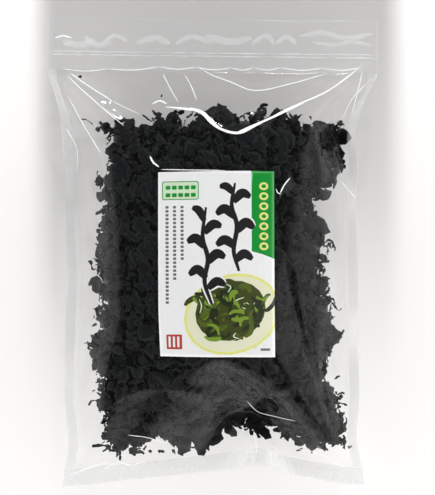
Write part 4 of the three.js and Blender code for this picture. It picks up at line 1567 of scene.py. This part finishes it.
def make_floor():
    corners = ((-1, -1), (1, -1), (1, 1), (-1, 1))
    points = [(x * FLOOR_HALF, y * FLOOR_HALF, FLOOR_TOP) for x, y in corners]
    floor = make_piece("floor", points, [[0, 1, 2, 3]], [floor_material()], None)


def add_key():
    """A small light beyond the zip's end. Its radiance is in W/(m² sr)."""
    light = bpy.data.lights.new("key", "AREA")
    light.shape = "RECTANGLE"
    light.size, light.size_y = (side * MM for side in KEY["size"])
    light.energy = KEY["radiance"] * math.pi * light.size * light.size_y
    lamp = bpy.data.objects.new("key", light)
    bpy.context.scene.collection.objects.link(lamp)
    lamp.location = Vector(KEY["place"]) * MM
    lamp.rotation_mode = "QUATERNION"
    lamp.rotation_quaternion = (Vector(KEY["aim"]) - Vector(KEY["place"])).to_track_quat("-Z", "Y")


def sine(degrees):
    return math.sin(math.radians(degrees))


def add_tent():
    """Pale walls at both sides and beyond the sealed end, dark overhead and behind the zip end."""
    world = bpy.data.worlds.new("tent")
    world.use_nodes = True
    tree = world.node_tree
    tree.nodes.clear()
    place = add_node(tree, "ShaderNodeTexCoord")
    parts = add_node(tree, "ShaderNodeSeparateXYZ", Vector=place.outputs["Generated"])
    start = TENT_STARTS["right"]
    leftward = number(tree, "MULTIPLY", parts.outputs["X"], -sine(start) / sine(TENT_STARTS["left"]))
    frontward = number(tree, "MULTIPLY", parts.outputs["Y"], -sine(start) / sine(TENT_STARTS["front"]))
    sideways = number(tree, "MAXIMUM", parts.outputs["X"], leftward)
    outward = number(tree, "MAXIMUM", sideways, frontward)
    wall = ramp(tree, outward, sine(start - TENT_EDGE), sine(start + TENT_EDGE))
    fall = {"From Min": TENT_HORIZON[0], "From Max": TENT_HORIZON[1]}
    fall |= {"Value": parts.outputs["Z"], "To Min": TENT_HORIZON_LIGHT, "To Max": 1.0}
    low = add_node(tree, "ShaderNodeMapRange", **fall).outputs[0]
    scaled = {"i0": TENT_COLOUR, "Scale": low}
    pale = add_node(tree, "ShaderNodeVectorMath", {"operation": "SCALE"}, **scaled).outputs[0]
    ends = {"i0": wall, "i6": (*TENT_DARK, 1), "i7": pale}
    colour = add_node(tree, "ShaderNodeMix", {"data_type": "RGBA"}, **ends).outputs[2]
    light = add_node(tree, "ShaderNodeBackground", Color=colour, Strength=1.0)
    add_node(tree, "ShaderNodeOutputWorld", Surface=light.outputs[0])
    bpy.context.scene.world = world


def add_camera():
    camera = bpy.data.cameras.new("camera")
    camera.sensor_width = SENSOR_WIDTH
    camera.lens = camera.sensor_width * CAMERA_DISTANCE / (IMAGE_HEIGHT * MM_PER_PIXEL)
    camera.clip_start, camera.clip_end = CLIP
    holder = bpy.data.objects.new("camera", camera)
    bpy.context.scene.collection.objects.link(holder)
    holder.location = Vector(EYE.tolist()) * MM
    bpy.context.scene.camera = holder


make_film()
make_painted_highlights()
make_zip()
make_label()
leaf_finish = wakame_material()
make_core(leaf_finish)
for name, kind in KINDS.items():
    make_kind(name, kind, leaf_finish)
make_loose(leaf_finish)
make_floor()
add_key()
add_tent()
add_camera()
bpy.context.scene.view_settings.view_transform = "Standard"
